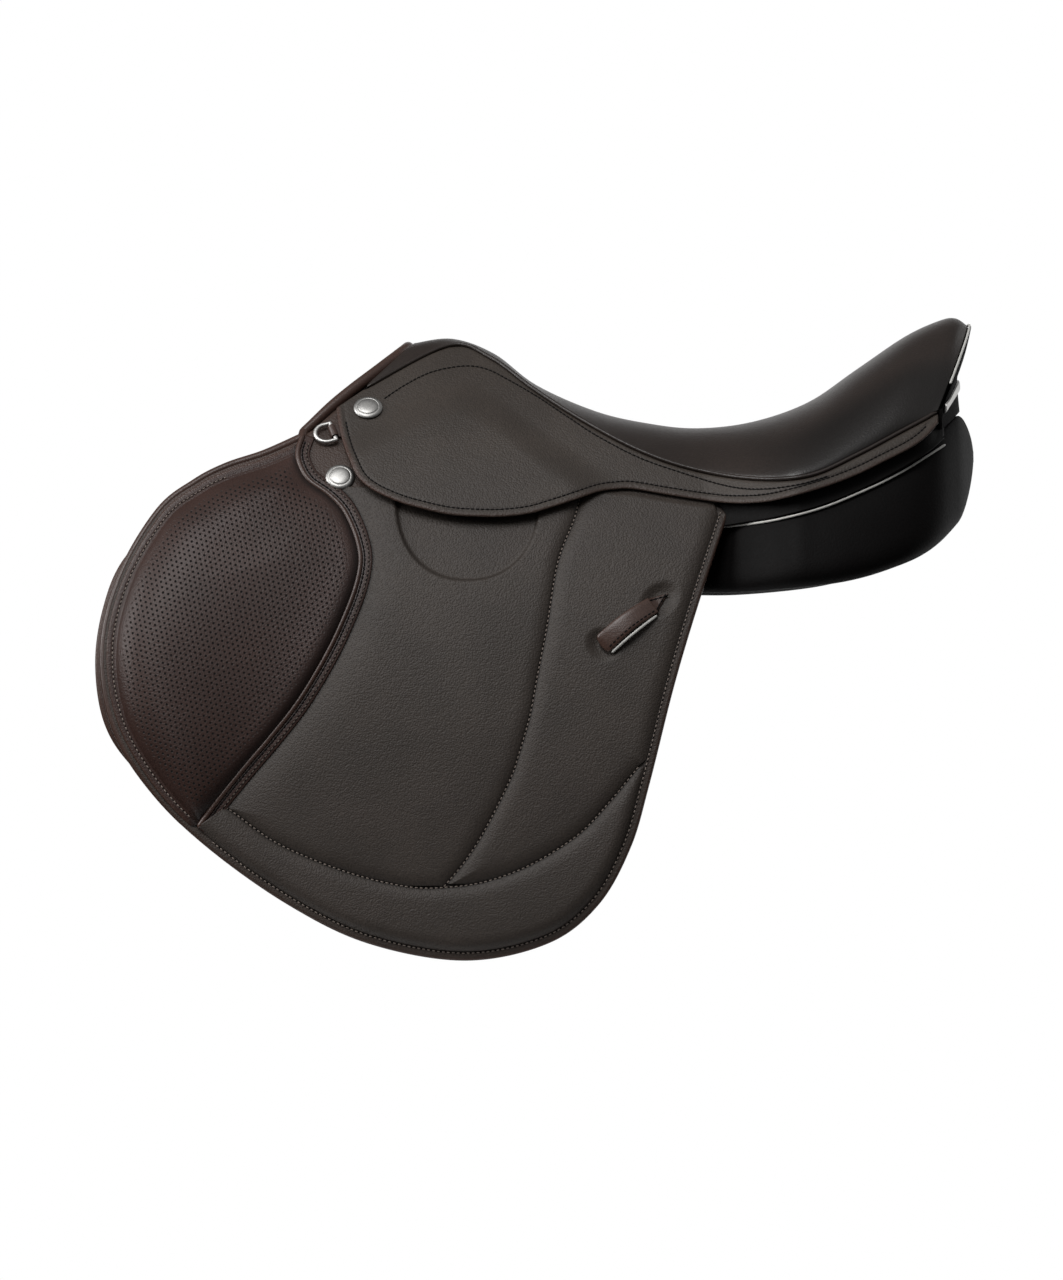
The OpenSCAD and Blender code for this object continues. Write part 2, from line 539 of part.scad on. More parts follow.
hem_columns = 26;
hem_ends_share = [0.19, 0.25];
hem_edge = concat([for (p = flap_front) if (p[1] < flap_pt(hem_ends_share)[1]) p],
    [for (i = [1:len(flap_rear) - 1]) if (flap_rear[i][1] < flap_pt(hem_seam_shares[11])[1]) flap_rear[i]]);
flap_middle_share = [0.55, 0.5];
function inwards(p, far) = let (c = flap_pt(flap_middle_share)) p + (c - p) * far / norm(c - p);
module hem_panel() color("#39332f")
    layer([for (p = spread(hem_seam, hem_columns)) p - [0, edge_margin / 3]],
          [for (p = spread(hem_edge, hem_columns)) inwards(p, edge_margin)], 3,
          even(layer_gap), padded(2 * layer_gap, panel_rise * 2 / 3, panel_power));

// Keeper strap across the rear panel
keeper_share = [0.836, 0.633];
keeper_tilt = 38;
keeper_base = 3 * layer_gap + panel_rise;
keeper_at = flap_pt(keeper_share);
keeper_run = [cos(keeper_tilt), sin(keeper_tilt)];
keeper_side = [-sin(keeper_tilt), cos(keeper_tilt)];
function keeper_edge(side) = [for (i = [0:12])
    keeper_at + keeper_run * keeper_length * (i / 12 - 0.5) + keeper_side * side];
keeper_power = 0.6;
function keeper_lift(u) = keeper_rise * pow(sin(180 * u), keeper_power);
module keeper() color("#332c28")
    layer(keeper_edge(-keeper_width / 2), keeper_edge(keeper_width / 2), 1,
          function(u, v) keeper_base + keeper_lift(u),
          function(u, v) keeper_base + keeper_leather + keeper_lift(u));

// Sweat flap with its blocks, in shares of the flap's length and drop
sweat_front_shares = [[0.094, 0.843], [0.0276, 0.76], [-0.0023, 0.667], [-0.0126, 0.559], [0.0037, 0.446],
    [0.0506, 0.362], [0.14, 0.273], [0.29, 0.1625], [0.428, 0.102], [0.577, 0.077]];
sweat_rear_shares = [[0.577, 0.077], [0.7034, 0.1074], [0.772, 0.19], [0.8046, 0.314], [0.841, 0.479],
    [0.876, 0.6446], [0.915, 0.843]];
sweat_front = flap_curve(sweat_front_shares);
sweat_rear = flap_curve(sweat_rear_shares);
sweat_rows = rows_up(flap_pt(sweat_front_shares[9])[1] + flap_tip_share * flap_drop,
    flap_pt(sweat_front_shares[0])[1], 24);
module sweat_flap() color("#2f2724")
    layer([for (z = sweat_rows) [lookup(z, swapped(sweat_front)), z]],
          [for (z = sweat_rows) [lookup(z, swapped(sweat_rear)), z]], 2, even(sweat_in), even(sweat_out));
knee_block_shares = [[0.055, 0.43], [0.19, 0.78]];
thigh_block_shares = [[0.785, 0.5], [0.845, 0.75]];
// Block along the sweat flap's edge, between two corner shares, leaning with the edge
module block(corners, edge, lean) {
    low = flap_pt(corners[0]);
    high = flap_pt(corners[1]);
    rows = [for (i = [0:10]) lerp(low[1], high[1], i / 10)];
    middle_x = lookup((low[1] + high[1]) / 2, swapped(edge));
    function shift(z) = lean * (lookup(z, swapped(edge)) - middle_x);
    layer([for (z = rows) [low[0] + shift(z), z]], [for (z = rows) [high[0] + shift(z), z]], 6,
          even(sweat_out + layer_gap), padded(sweat_out + 2 * layer_gap, block_rise - layer_gap, pad_power));
}
block_lean_share = 0.8;
module knee_block() color("#241d1a") block(knee_block_shares, sweat_front, block_lean_share);
module thigh_block() color("#241d1a") block(thigh_block_shares, sweat_rear, block_lean_share);

// Billet straps on their webs, the middle one in the outer layer
billet_top_z = bend_z - billet_leather;
billet_pivot_z = billet_top_z - billet_width / 2;
billet_tip_share = 0.5;
hole_end = 2 * hole_pitch;
billet_low_z = billet_top_z - billet_length;
hole_zs = [for (k = [0:hole_count - 1]) billet_low_z + hole_end + k * hole_pitch];
// Bends of the strap, halfway between its holes
billet_zs = concat([billet_low_z], [for (z = hole_zs) z - hole_pitch / 2],
    [for (t = [0, 0.5, 1]) lerp(hole_zs[hole_count - 1] + hole_pitch / 2, billet_top_z, t)]);
module billet_outline(x) translate([x, 0]) difference() {
    polygon([for (side = [-1, 1]) each [for (p = [[0.5, billet_top_z], [0.5, billet_low_z + billet_width],
        [billet_tip_share / 2, billet_low_z]]) [side * p[0] * billet_width, p[1]]]],
        [[0, 1, 2, 5, 4, 3]]);
    for (z = hole_zs) translate([0, z]) circle(d = hole_d);
}
module billet(place, out, hand) color("#1d1916") {
    x = place * billet_pitch - billet_reach;
    face = [for (z = billet_zs) [-hand * (side(z) + out), z]];
    back = [for (z = billet_zs) [-hand * (side(z) + out - billet_leather), z]];
    intersection() {
        translate([x - billet_width, 0, 0]) rotate([90, 0, 90]) linear_extrude(2 * billet_width)
            polygon(concat(face, [for (i = [len(back) - 1:-1:0]) back[i]]));
        rotate([90, 0, 0]) linear_extrude(2 * flank_breadth, center = true) billet_outline(x);
    }
}
module girth_web() color("#a9987a") for (place = [-1, 0, 1]) {
    x = place * billet_pitch - billet_reach;
    low = place == 0 ? billet_pivot_z - billet_width : billet_top_z + billet_leather;
    rows = [for (i = [0:4]) lerp(low, web_top_z, i / 4)];
    layer([for (z = rows) [x - billet_width / 2, z]], [for (z = rows) [x + billet_width / 2, z]], 1,
          even(billet_lower_in), even(billet_lower_out));
}

// Tree: an arched head with points, two rails and a board in the cantle
crown_fall_share = 0.27;
// Half breadth of an arch under the sides, rounded to a crown at height top
function arch(z, top, d) = let (s = top - crown_fall_share * head_z, t = limit((z - s) / (top - s)))
    (side(z) + d) * sqrt(1 - t * t);
head_steps = 11;
arch_down_power = 3;
head_thick_share = 0.2;
function head_depth_at(z) = lerp(point_depth, head_depth, smooth(z / head_z + head_thick_share));
function arch_heights(top, low) = [for (i = [0:head_steps]) lerp(top, low, pow(i / head_steps, crowding))];
// Arched solid from side to side between two depths, cut to a length that leans forwards
module arched(top, low, depth_out, depth_at, x_front, length) {
    zs = arch_heights(top, low);
    function lean_x(z) = x_front - head_lean * (head_z - z);
    function ring(z, sgn) = let (y = arch(z, top, depth_out), thin = depth_at(z),
        c = limit((z - low) / (top - low)), down = thin * power(c, arch_down_power),
        in = max(y - thin * (1 - power(c, 2 * arch_down_power)), 0))
        [[lean_x(z), sgn * y, z], [lean_x(z) + length, sgn * y, z],
         [lean_x(z) + length, sgn * in, z - down], [lean_x(z), sgn * in, z - down]];
    loft(concat([for (i = [head_steps:-1:1]) ring(zs[i], -1)], [ring(zs[0], 1)],
                [for (i = [1:head_steps]) ring(zs[i], 1)]));
}
module tree_head() color("#b58a5a")
    arched(head_z, -point_low, tree_out, function(z) head_depth_at(z), head_x, head_length);
plate_top = head_z - head_depth - 2 * layer_gap;
plate_low = head_z / 2;
module gullet_plate() color("#8f959b")
    arched(plate_top, plate_low, tree_out - head_depth - 4 * layer_gap, function(z) steel_depth,
           head_x + steel_depth, head_length - 2 * steel_depth);

// Rails from the head to the cantle: places as shares of the seat's length, the spread and the cantle's rise
rail_shares = [[0.0545, 0.4, 0.278], [0.131, 0.444, 0.165], [0.2576, 0.511, -0.09], [0.384, 0.622, -0.32],
    [0.51, 0.756, -0.48], [0.636, 0.889, -0.47], [0.763, 1, -0.33], [0.8586, 1.01, -0.139],
    [0.8975, 0.978, -0.063]];
rail_line = curve([for (s = rail_shares) [seat_x(s[0]), s[1] * rail_spread, seat_z(s[2])]], 3);
// Flat bar along the rail's line, sunk under it
module along_rail(width, depth, sink) {
    loft([for (p = rail_line) let (y = p[1], z = p[2] - sink)
        [[p[0], -y - width / 2, z + depth / 2], [p[0], -y + width / 2, z + depth / 2],
         [p[0], -y + width / 2, z - depth / 2], [p[0], -y - width / 2, z - depth / 2]]]);
}
module tree_rail() color("#b58a5a") along_rail(rail_width, rail_depth, 0);
module tree_spring() color("#7d848b")
    along_rail(rail_width / 2, steel_depth, (rail_depth + steel_depth) / 2 + layer_gap);
board_top_shares = [0.532, 0.101];
board_back = seat_leather + cantle_depth / 2 + 4 * layer_gap;
board_mid_x = back_x + welt_gap + (back_shares[2][0] - back_shares[0][0]) * cantle_back_height - board_back;
board_end_x = back_end_x + welt_gap - board_back - 2 * layer_gap;
board_low_shares = [0, -0.025];
board_steps = 12;
module tree_cantle() color("#b58a5a")
    loft([for (i = [0:board_steps]) let (u = 2 * i / board_steps - 1,
        x = lerp(board_mid_x, board_end_x, u * u), y = rail_spread * u,
        top = lerp(seat_z(board_top_shares[0]), seat_z(board_top_shares[1]), pow(abs(u), seat_crown_power)),
        low = lerp(seat_z(board_low_shares[0]), seat_z(board_low_shares[1]), u * u))
        [[x - cantle_depth / 2, y, top], [x + cantle_depth / 2, y, top],
         [x + cantle_depth / 2, y, low], [x - cantle_depth / 2, y, low]]]);

roll_sides = 10;
module pommel_roll() color("#4a2f26") {
    half = [for (p = roll_line) [p[1], roll_half(p[0]), p[0]]];
    path = concat([for (p = half) [p[0], -p[1], p[2]]], [for (i = [len(half) - 2:-1:0]) half[i]]);
    loft([for (i = [0:len(path) - 1]) let (a = path[max(i - 1, 0)], b = path[min(i + 1, len(path) - 1)],
        t = (b - a) / norm(b - a), side = cross(t, [1, 0, 0]), e = side / norm(side), f = cross(t, e))
        [for (k = [0:roll_sides - 1]) let (w = 360 * k / roll_sides)
            path[i] + roll_d / 2 * (cos(w) * e + sin(w) * f)]]);
}
// Lining of the gullet, from the roll back under the head
lining_top = plate_top - steel_depth - layer_gap;
lining_low_share = 0.39;
lining_d = tree_out - head_depth - steel_depth - 5 * layer_gap;
lining_rear = head_length;
lining_steps = 8;
module gullet_lining() {
    function front(z, deep) = max(roll_half(min(z + deep + roll_d, roll_top_z)) - roll_d - deep, 0);
    function place(c, sgn, k, deep) =
        let (top = (k == 0 ? roll_top_z - roll_d : lining_top) - deep,
             z = lerp(top, lining_low_share * head_z, pow(c, crowding)),
             x = k == 0 ? roll_x(z) + roll_d / 3
                 : head_x - head_lean * (head_z - z) + (k == 1 ? -roll_d / 4 : lining_rear))
        [x, sgn * (k == 0 ? front(z, deep) : arch(z, top, lining_d - deep)), z];
    function row(c, sgn, deep) = [for (k = [0:2]) place(c, sgn, k, deep)];
    function sheet(deep) = concat([for (i = [lining_steps:-1:1]) row(i / lining_steps, -1, deep)],
        [for (i = [0:lining_steps]) row(i / lining_steps, 1, deep)]);
    color("#1e1a18") shell(sheet(0), sheet(seat_leather));
}

// Panels: stations of place, inner low and top, outer low and top, and insets, as shares of their sizes
panel_shares = [[0, 0.773, 0.907, 0.34, 0.72, 1, 1], [0.118, 0.707, 0.96, 0.053, 0.707, 1, 1],
    [0.244, 0.587, 0.933, 0.053, 0.68, 1, 1], [0.381, 0.493, 0.827, 0.093, 0.667, 1, 1],
    [0.486, 0.44, 0.74, 0.107, 0.64, 1, 1], [0.5916, 0.407, 0.667, 0.107, 0.607, 1, 1],
    [0.665, 0.4, 0.653, 0.113, 0.597, 0.35, 0.5], [0.76, 0.42, 0.707, 0.14, 0.653, 0.3, 0.45],
    [0.821, 0.46, 0.753, 0.173, 0.727, 0.3, 0.6], [0.878, 0.507, 0.813, 0.233, 0.813, 0.35, 0.9],
    [0.9137, 0.54, 0.853, 0.287, 0.88, 0.45, 1.3], [0.943, 0.567, 0.893, 0.36, 0.953, 0.7, 1.8],
    [0.9726, 0.6, 0.947, 0.467, 1, 1.4, 2.6], [0.99, 0.64, 0.947, 0.545, 0.99, 2.1, 3.1],
    [1, 0.673, 0.947, 0.607, 0.973, 2.6, 3.4]];
panel_inset = -sweat_in + layer_gap;
panel_sides = 20;
panel_round = 0.5;
panel_end_share = 0.03;
panel_front_share = 0.06;
panel_nose_share = 0.8;
panel_tip_share = 0.15;
function boxy(c) = sign(c) * pow(abs(c), panel_round);
panel_rows = curve(panel_shares, 2);
function panel_close(s) = let (t = limit((s - 1 + panel_end_share) / panel_end_share),
    f = limit(1 - s / panel_front_share))
    max(panel_tip_share, sqrt(1 - t * t)) * lerp(1, panel_nose_share, f * f);
function panel_ring(r) = let (x = r[0] * panel_length - panel_reach, k = panel_close(r[0]))
    [for (j = [0:panel_sides - 1])
        let (w = 360 * j / panel_sides, a = (1 + k * boxy(cos(w))) / 2, b = (1 + k * boxy(sin(w))) / 2,
             zs = lerp(lerp(r[1], r[3], a), lerp(r[2], r[4], a), b), z = zs * panel_height - panel_low,
             outer = flank(x, z) - lerp(r[6], r[5], b) * panel_inset)
        [x, -lerp(channel_half, outer, a), z]];
module panel() color("#151312") loft([for (r = panel_rows) panel_ring(r)]);

// Stirrup bar with its hinged catch, on a base that is riveted to the tree's point
bar_tilt = atan(side_slope(bar_at[1]));
base_n = (tree_out - head_depth_at(bar_at[1]) - layer_gap) * cos(bar_tilt);
bar_n = base_n + bar_room + bar_d / 2;
base_depth = bar_d / 3;
base_height = 2.4 * bar_d;
base_front = 1.2 * bar_d;
web_top_z = bar_at[1] + (base_n - base_depth) * sin(bar_tilt) - base_height / 2 * cos(bar_tilt) - layer_gap;
catch_pivot = bar_length - 2 * catch_pin_d;
catch_hub = bar_d - 2 * pin_gap;
arm_length = 1.2 * bar_d;
arm_start = layer_gap;
module at_bar(hand) placed(bar_at[0], bar_at[1], 0, hand) children();
module stirrup_bar(hand) color("#a8adb3") at_bar(hand) {
    difference() {
        union() {
            translate([-base_front, -base_height / 2, base_n - base_depth])
                cube([base_front + bar_length, base_height, base_depth]);
            translate([arm_start, -bar_d / 2, base_n - base_depth / 2])
                cube([arm_length, bar_d, bar_n - base_n + base_depth / 2]);
            translate([arm_start, 0, bar_n]) rotate([0, 90, 0])
                cylinder(d = bar_d, h = bar_length - arm_start);
        }
        translate([catch_pivot - catch_hub / 2 - layer_gap, -bar_d, bar_n - catch_depth / 2 - pin_gap])
            cube([bar_length, 2 * bar_d, catch_depth + 2 * pin_gap]);
    }
    translate([catch_pivot, 0, bar_n - bar_d / 3]) cylinder(d = catch_pin_d, h = 2 * bar_d / 3);
}
module bar_catch(hand) color("#8d9399") at_bar(hand) translate([catch_pivot, 0, bar_n - catch_depth / 2])
    linear_extrude(catch_depth) difference() {
        union() {
            circle(d = catch_hub);
            translate([0, -catch_hub / 3]) square([catch_length, 2 * catch_hub / 3]);
            translate([catch_length, 0]) circle(d = 2 * catch_hub / 3);
        }
        circle(d = catch_pin_d + 2 * pin_gap);
    }

// Dee ring in its leather chape
chape_wall = dee_wire / 3;
chape_d = dee_wire + 2 * pin_gap + 2 * chape_wall;
chape_width = dee_width - 2 * dee_wire;
chape_length = 5 * dee_wire;
dee_n = layer_gap + chape_d / 2;
module at_dee(hand) placed(dee_at[0], dee_at[1], 0, hand) translate([0, 0, dee_n])
    rotate([0, 0, hand * dee_tilt]) children();
module dee(hand) color("#c5c8cc") at_dee(hand) {
    rotate([90, 0, 0]) cylinder(d = dee_wire, h = dee_width, center = true);
    for (end = [-1, 1]) translate([0, end * dee_width / 2, 0]) {
        sphere(d = dee_wire);
        rotate([0, -90, 0]) cylinder(d = dee_wire, h = dee_leg);
    }
    translate([-dee_leg, 0, 0]) rotate([0, 0, 90])
        rotate_extrude(angle = 180) translate([dee_width / 2, 0]) circle(d = dee_wire);
}
module dee_chape(hand) color("#2e2723") at_dee(hand) difference() {
    union() {
        rotate([90, 0, 0]) cylinder(d = chape_d, h = chape_width, center = true);
        translate([0, -chape_width / 2, -chape_d / 2]) cube([chape_length, chape_width, 1.6 * chape_wall]);
    }
    rotate([90, 0, 0]) cylinder(d = dee_wire + 2 * pin_gap, h = dee_width, center = true);
}

// Domed nails with a turned ring, one pair through the skirts and one through the flaps
nail_profile_shares = [[0, 1], [0.4, 0.93], [0.66, 0.72], [0.7, 0.6], [0.76, 0.64], [0.92, 0.42], [1, 0.15],
    [1, 0]];
module nail(shank) {
    rotate_extrude() polygon(concat([for (s = nail_profile_shares) [s[0] * nail_d / 2, s[1] * nail_rise]],
        [[nail_shank_d / 2, 0], [nail_shank_d / 2, -shank], [0, -shank]]));
}
module skirt_nails() color("#cfd2d5") for (hand = [1, -1])
    placed(skirt_nail_at[0], skirt_nail_at[1], skirt_nail_d, hand) nail(skirt_shank);
module flap_nails() color("#cfd2d5") for (hand = [1, -1])
    placed(flap_nail_at[0], flap_nail_at[1], flap_nail_d, hand) nail(flap_shank);

tree_head();
tree_cantle();
gullet_plate();
seat_webbing();
seat_foam();
seat_cover();
cantle_back();
cantle_plate();
pommel_roll();
gullet_lining();
skirt_nails();
flap_nails();
tree_rail();  // tree_rail_near
off_side() tree_rail();  // tree_rail_off
tree_spring();  // tree_spring_near
off_side() tree_spring();  // tree_spring_off
skirt();  // skirt_near
off_side() skirt();  // skirt_off
skirt_lobe();  // skirt_lobe_near
off_side() skirt_lobe();  // skirt_lobe_off
flap_head();  // flap_head_near
off_side() flap_head();  // flap_head_off
flap();  // flap_near
off_side() flap();  // flap_off
knee_pad();  // knee_pad_near
off_side() knee_pad();  // knee_pad_off
thigh_panel_front();  // thigh_panel_front_near
off_side() thigh_panel_front();  // thigh_panel_front_off
thigh_panel_rear();  // thigh_panel_rear_near
off_side() thigh_panel_rear();  // thigh_panel_rear_off
hem_panel();  // hem_panel_near
off_side() hem_panel();  // hem_panel_off
keeper();  // keeper_near
off_side() keeper();  // keeper_off
sweat_flap();  // sweat_flap_near
off_side() sweat_flap();  // sweat_flap_off
knee_block();  // knee_block_near
off_side() knee_block();  // knee_block_off
thigh_block();  // thigh_block_near
off_side() thigh_block();  // thigh_block_off
girth_web();  // girth_web_near
off_side() girth_web();  // girth_web_off
panel();  // panel_near
off_side() panel();  // panel_off
stirrup_bar(1);  // stirrup_bar_near
stirrup_bar(-1);  // stirrup_bar_off
bar_catch(1);  // bar_catch_near
bar_catch(-1);  // bar_catch_off
dee(1);  // dee_near
dee(-1);  // dee_off
dee_chape(1);  // dee_chape_near
dee_chape(-1);  // dee_chape_off
billet(-1, billet_lower_out, 1);  // billet_front_near
billet(-1, billet_lower_out, -1);  // billet_front_off
billet(0, billet_upper_out, 1);  // billet_middle_near
billet(0, billet_upper_out, -1);  // billet_middle_off
billet(1, billet_lower_out, 1);  // billet_rear_near
billet(1, billet_lower_out, -1);  // billet_rear_off
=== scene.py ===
"""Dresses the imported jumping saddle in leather, padding, thread and metal.

Lengths are millimetres until a mesh is made. X runs from pommel to cantle, Z is up and the near side
is at negative Y. A place on the saddle's side is x, z and a depth d, measured outwards from the side's
own surface. Outlines are shares of the sizes beside them.
"""
import math

import bpy
import numpy as np
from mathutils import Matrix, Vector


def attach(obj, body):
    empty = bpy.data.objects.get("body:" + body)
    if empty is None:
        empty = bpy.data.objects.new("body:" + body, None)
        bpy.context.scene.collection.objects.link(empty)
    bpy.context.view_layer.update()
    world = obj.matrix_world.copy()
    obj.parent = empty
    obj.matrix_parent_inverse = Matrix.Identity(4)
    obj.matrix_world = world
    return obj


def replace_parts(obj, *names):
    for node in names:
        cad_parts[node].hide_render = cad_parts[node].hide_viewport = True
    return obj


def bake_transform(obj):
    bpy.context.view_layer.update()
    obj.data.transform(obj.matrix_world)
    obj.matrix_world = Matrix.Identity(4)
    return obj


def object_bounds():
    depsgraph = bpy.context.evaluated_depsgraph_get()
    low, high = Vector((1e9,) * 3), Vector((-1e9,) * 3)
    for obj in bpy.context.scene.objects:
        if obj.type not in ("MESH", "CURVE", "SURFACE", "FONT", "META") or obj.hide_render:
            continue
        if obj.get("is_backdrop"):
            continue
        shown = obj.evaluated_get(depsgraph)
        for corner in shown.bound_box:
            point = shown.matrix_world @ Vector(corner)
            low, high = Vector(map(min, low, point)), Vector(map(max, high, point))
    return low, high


bl_info = {
    "name": "Jumping Saddle",
    "version": (1, 0, 0),
    "blender": (4, 5, 0),
    "location": "View3D > Sidebar > Saddle",
    "description": "Builds the looks of a jumping saddle over its packed frame",
    "category": "Object",
}

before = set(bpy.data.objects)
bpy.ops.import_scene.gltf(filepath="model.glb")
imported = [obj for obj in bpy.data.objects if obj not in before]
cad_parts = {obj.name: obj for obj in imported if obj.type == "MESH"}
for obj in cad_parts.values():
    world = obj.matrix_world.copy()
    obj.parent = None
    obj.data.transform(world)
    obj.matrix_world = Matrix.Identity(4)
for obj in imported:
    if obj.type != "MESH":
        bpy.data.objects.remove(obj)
CAD_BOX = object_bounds()
MM = 0.001
ROOT = "saddle"
HANDS = (("near", 1), ("off", -1))

CURVE_STEPS, COARSE_STEPS, LEAST_THICKNESS = 12, 8, 0.6
OUTWARD = (0, -1, 0)

# Sides and seat, as in the part
BREADTH, FALL, RIDGE, WIDENING, WIDENING_START, WIDENING_RUN = 208, 160, 158, 36, -0.04, 70
SEAT_FRONT, SEAT_LENGTH, SEAT_LOW, CANTLE_RISE, SEAT_EDGE, SEAT_POWER = -202, 396, 78, 79, 6.2, 2.3
SEAT_LEATHER, WELT_RADIUS, FOAM_DEPTHS = 2.5, 1.5, (5, 16)
SEAT_FULL, FULL_START, FULL_END = 0.45, (0.36, 0.45), (0.86, 0.14)
SEAT_SHARES = np.array([
    [0, 0.778, -0.0833, 0.361], [0.068, 0.816, 0.061, 0.753], [0.144, 0.677, 0.139, 0.633],
    [0.22, 0.389, 0.217, 0.335], [0.328, 0.152, 0.306, 0.038], [0.422, 0.044, 0.404, -0.228],
    [0.51, 0, 0.497, -0.392], [0.611, 0.057, 0.611, -0.49], [0.712, 0.234, 0.7, -0.462],
    [0.8, 0.532, 0.783, -0.278], [0.889, 0.835, 0.859, -0.076], [0.952, 0.981, 0.904, 0.044],
    [0.98, 1, 0.919, 0.089], [1, 0.937, 0.928, 0.108]])
BACK_SHARES = np.array([[0.06, 0.005], [0, 0.25], [-0.1, 0.53], [-0.1, 0.77], [-0.08, 1]])
BACK_HEIGHT, BACK_END_SHARE, WELT_GAP, PLATE_DROPS, PLATE_HEIGHT = 62, 0.22, 3, (39.7, -2.5), 7

# Skirt
SKIRT_FRONT, SKIRT_LENGTH, SKIRT_LOW, SKIRT_HEIGHT, SKIRT_LEATHER = -256.5, 421.99, 11.5, 82, 3.2
SKIRT_BASE, SKIRT_STANDOFF, SKIRT_SEAM = 3, 5.5, 5.4
SKIRT_TOP_SHARES = np.array([[0, 0.951], [0.045, 1.115]])
SKIRT_EDGE_SHARES = np.array([
    [0.001, 0.939], [0.006, 0.787], [0.0147, 0.622], [0.026, 0.482], [0.042, 0.328], [0.067, 0.223],
    [0.107, 0.128], [0.147, 0.068], [0.192, 0.017], [0.238, 0], [0.282, 0], [0.3235, 0.026],
    [0.353, 0.068], [0.3995, 0.146], [0.439, 0.215], [0.467, 0.237], [0.494, 0.24], [0.548, 0.193],
    [0.604, 0.148], [0.657, 0.115], [0.711, 0.121], [0.764, 0.178], [0.8185, 0.263], [0.865, 0.357],
    [0.9, 0.445], [0.953, 0.585], [0.981, 0.69], [1, 0.8]])
UPPER_STITCHES = np.array([
    [-222.7, 96.2], [-208, 106.5], [-189.1, 116.2], [-166.4, 120.6], [-150.7, 118.4], [-135.8, 110.9],
    [-113.8, 97.6], [-92.7, 83], [-71, 68.5], [-42.4, 53.4], [-10.3, 41.9], [21.4, 32.5], [44.3, 30.6],
    [68.1, 33.8], [87, 39.4]])

# Flap, its seams and what is sewn on it
FLAP_FRONT, FLAP_LENGTH, FLAP_LOW, FLAP_DROP, FLAP_LEATHER = -416, 435, -294, 363, 5
FLAP_FRONT_SHARES = np.array([
    [0.31, 1], [0.25, 0.967], [0.19, 0.9425], [0.14, 0.911], [0.083, 0.855], [0.025, 0.73], [0, 0.59],
    [0.02, 0.445], [0.085, 0.315], [0.172, 0.213], [0.3, 0.105], [0.427, 0.032], [0.579, 0]])
FLAP_REAR_SHARES = np.array([
    [0.579, 0], [0.71, 0.032], [0.79, 0.105], [0.841, 0.213], [0.871, 0.333], [0.91, 0.515],
    [0.9485, 0.667], [1, 0.8485]])
KNEE_SHARES = np.array([
    [0.315, 1.005], [0.307, 0.971], [0.311, 0.944], [0.326, 0.914], [0.357, 0.887], [0.38, 0.86],
    [0.395, 0.828], [0.4055, 0.794], [0.4105, 0.759], [0.405, 0.715], [0.389, 0.659], [0.3595, 0.581],
    [0.316, 0.492], [0.2736, 0.4256], [0.23, 0.3636], [0.1885, 0.3014], [0.158, 0.25]])
HEM_SHARES = np.array([
    [0.199, 0.289], [0.2115, 0.281], [0.276, 0.226], [0.347, 0.187], [0.4207, 0.157], [0.492, 0.139],
    [0.545, 0.138], [0.6115, 0.149], [0.685, 0.182], [0.7575, 0.237], [0.8046, 0.295], [0.854, 0.366]])
THIGH_SHARES = np.array([
    [0.766, 0.91], [0.754, 0.843], [0.7264, 0.755], [0.7087, 0.631], [0.694, 0.54], [0.6816, 0.4614],
    [0.664, 0.388], [0.6506, 0.3416], [0.6115, 0.248], [0.579, 0.187], [0.545, 0.138]])
FLAP_TOP = np.array([
    [19, 14], [10, 25], [-12, 35], [-45, 42], [-104, 40], [-128, 21], [-200, 21], [-212, 27], [-222, 36],
    [-243, 97]])
FLAP_CENTRE, REAR_CORNER = (-186, -28), np.array([[9, 22], [1, 29], [-12, 34]])
FRONT_ROLL_RADII, FRONT_ROLL_DEPTH, FRONT_ROLL_END = (3.6, 2.6), -2.6, 0.64
KNEE_TOP, CORD_RADIUS, CORD_DEPTH, BAND_SEAMS = 64, 1.9, 2.0, (3.2, 6.2)
SEWN_TOP, SEAM_HALF, SEAM_LIFT, BORDER_LIFT = 33, 0.4, 0.95, 0.3
BAND_SPAN, SEWN_BASE, PANEL_FOOT = (1.2, 8.4), 0.1, 0.5
RECESS_AT, RECESS_SIZE, RECESS_POWER = (-163, 24), (50, 57), 2.2
KEEPER_AT, KEEPER_TILT, KEEPER_SIZE, KEEPER_DIP = (-52.3, -64.2), 38, (46, 14.5), 2.9
KEEPER_RISE, KEEPER_BASE, KEEPER_SWAY, KEEPER_THICKNESS = 6.5, 4.5, 1.8, 1.7
TIP_RUN, TIP_HALF = (-2, 13), 6.2

# Sweat flap and its blocks
SWEAT_SHARES = np.array([
    [0.094, 0.843], [0.0276, 0.76], [-0.0023, 0.667], [-0.0126, 0.559], [0.0037, 0.446],
    [0.0506, 0.362], [0.14, 0.273], [0.29, 0.1625], [0.428, 0.102], [0.577, 0.077], [0.7034, 0.1074],
    [0.772, 0.19], [0.8046, 0.314], [0.841, 0.479], [0.876, 0.6446], [0.915, 0.843]])
SWEAT_IN, SWEAT_OUT, SWEAT_CENTRE, BLOCK_RISE = -24.5, -20.5, (-220, -90), 11.5
BLOCK_CORNERS = {"knee": ((0.055, 0.43), (0.19, 0.78)), "thigh": ((0.785, 0.5), (0.845, 0.75))}

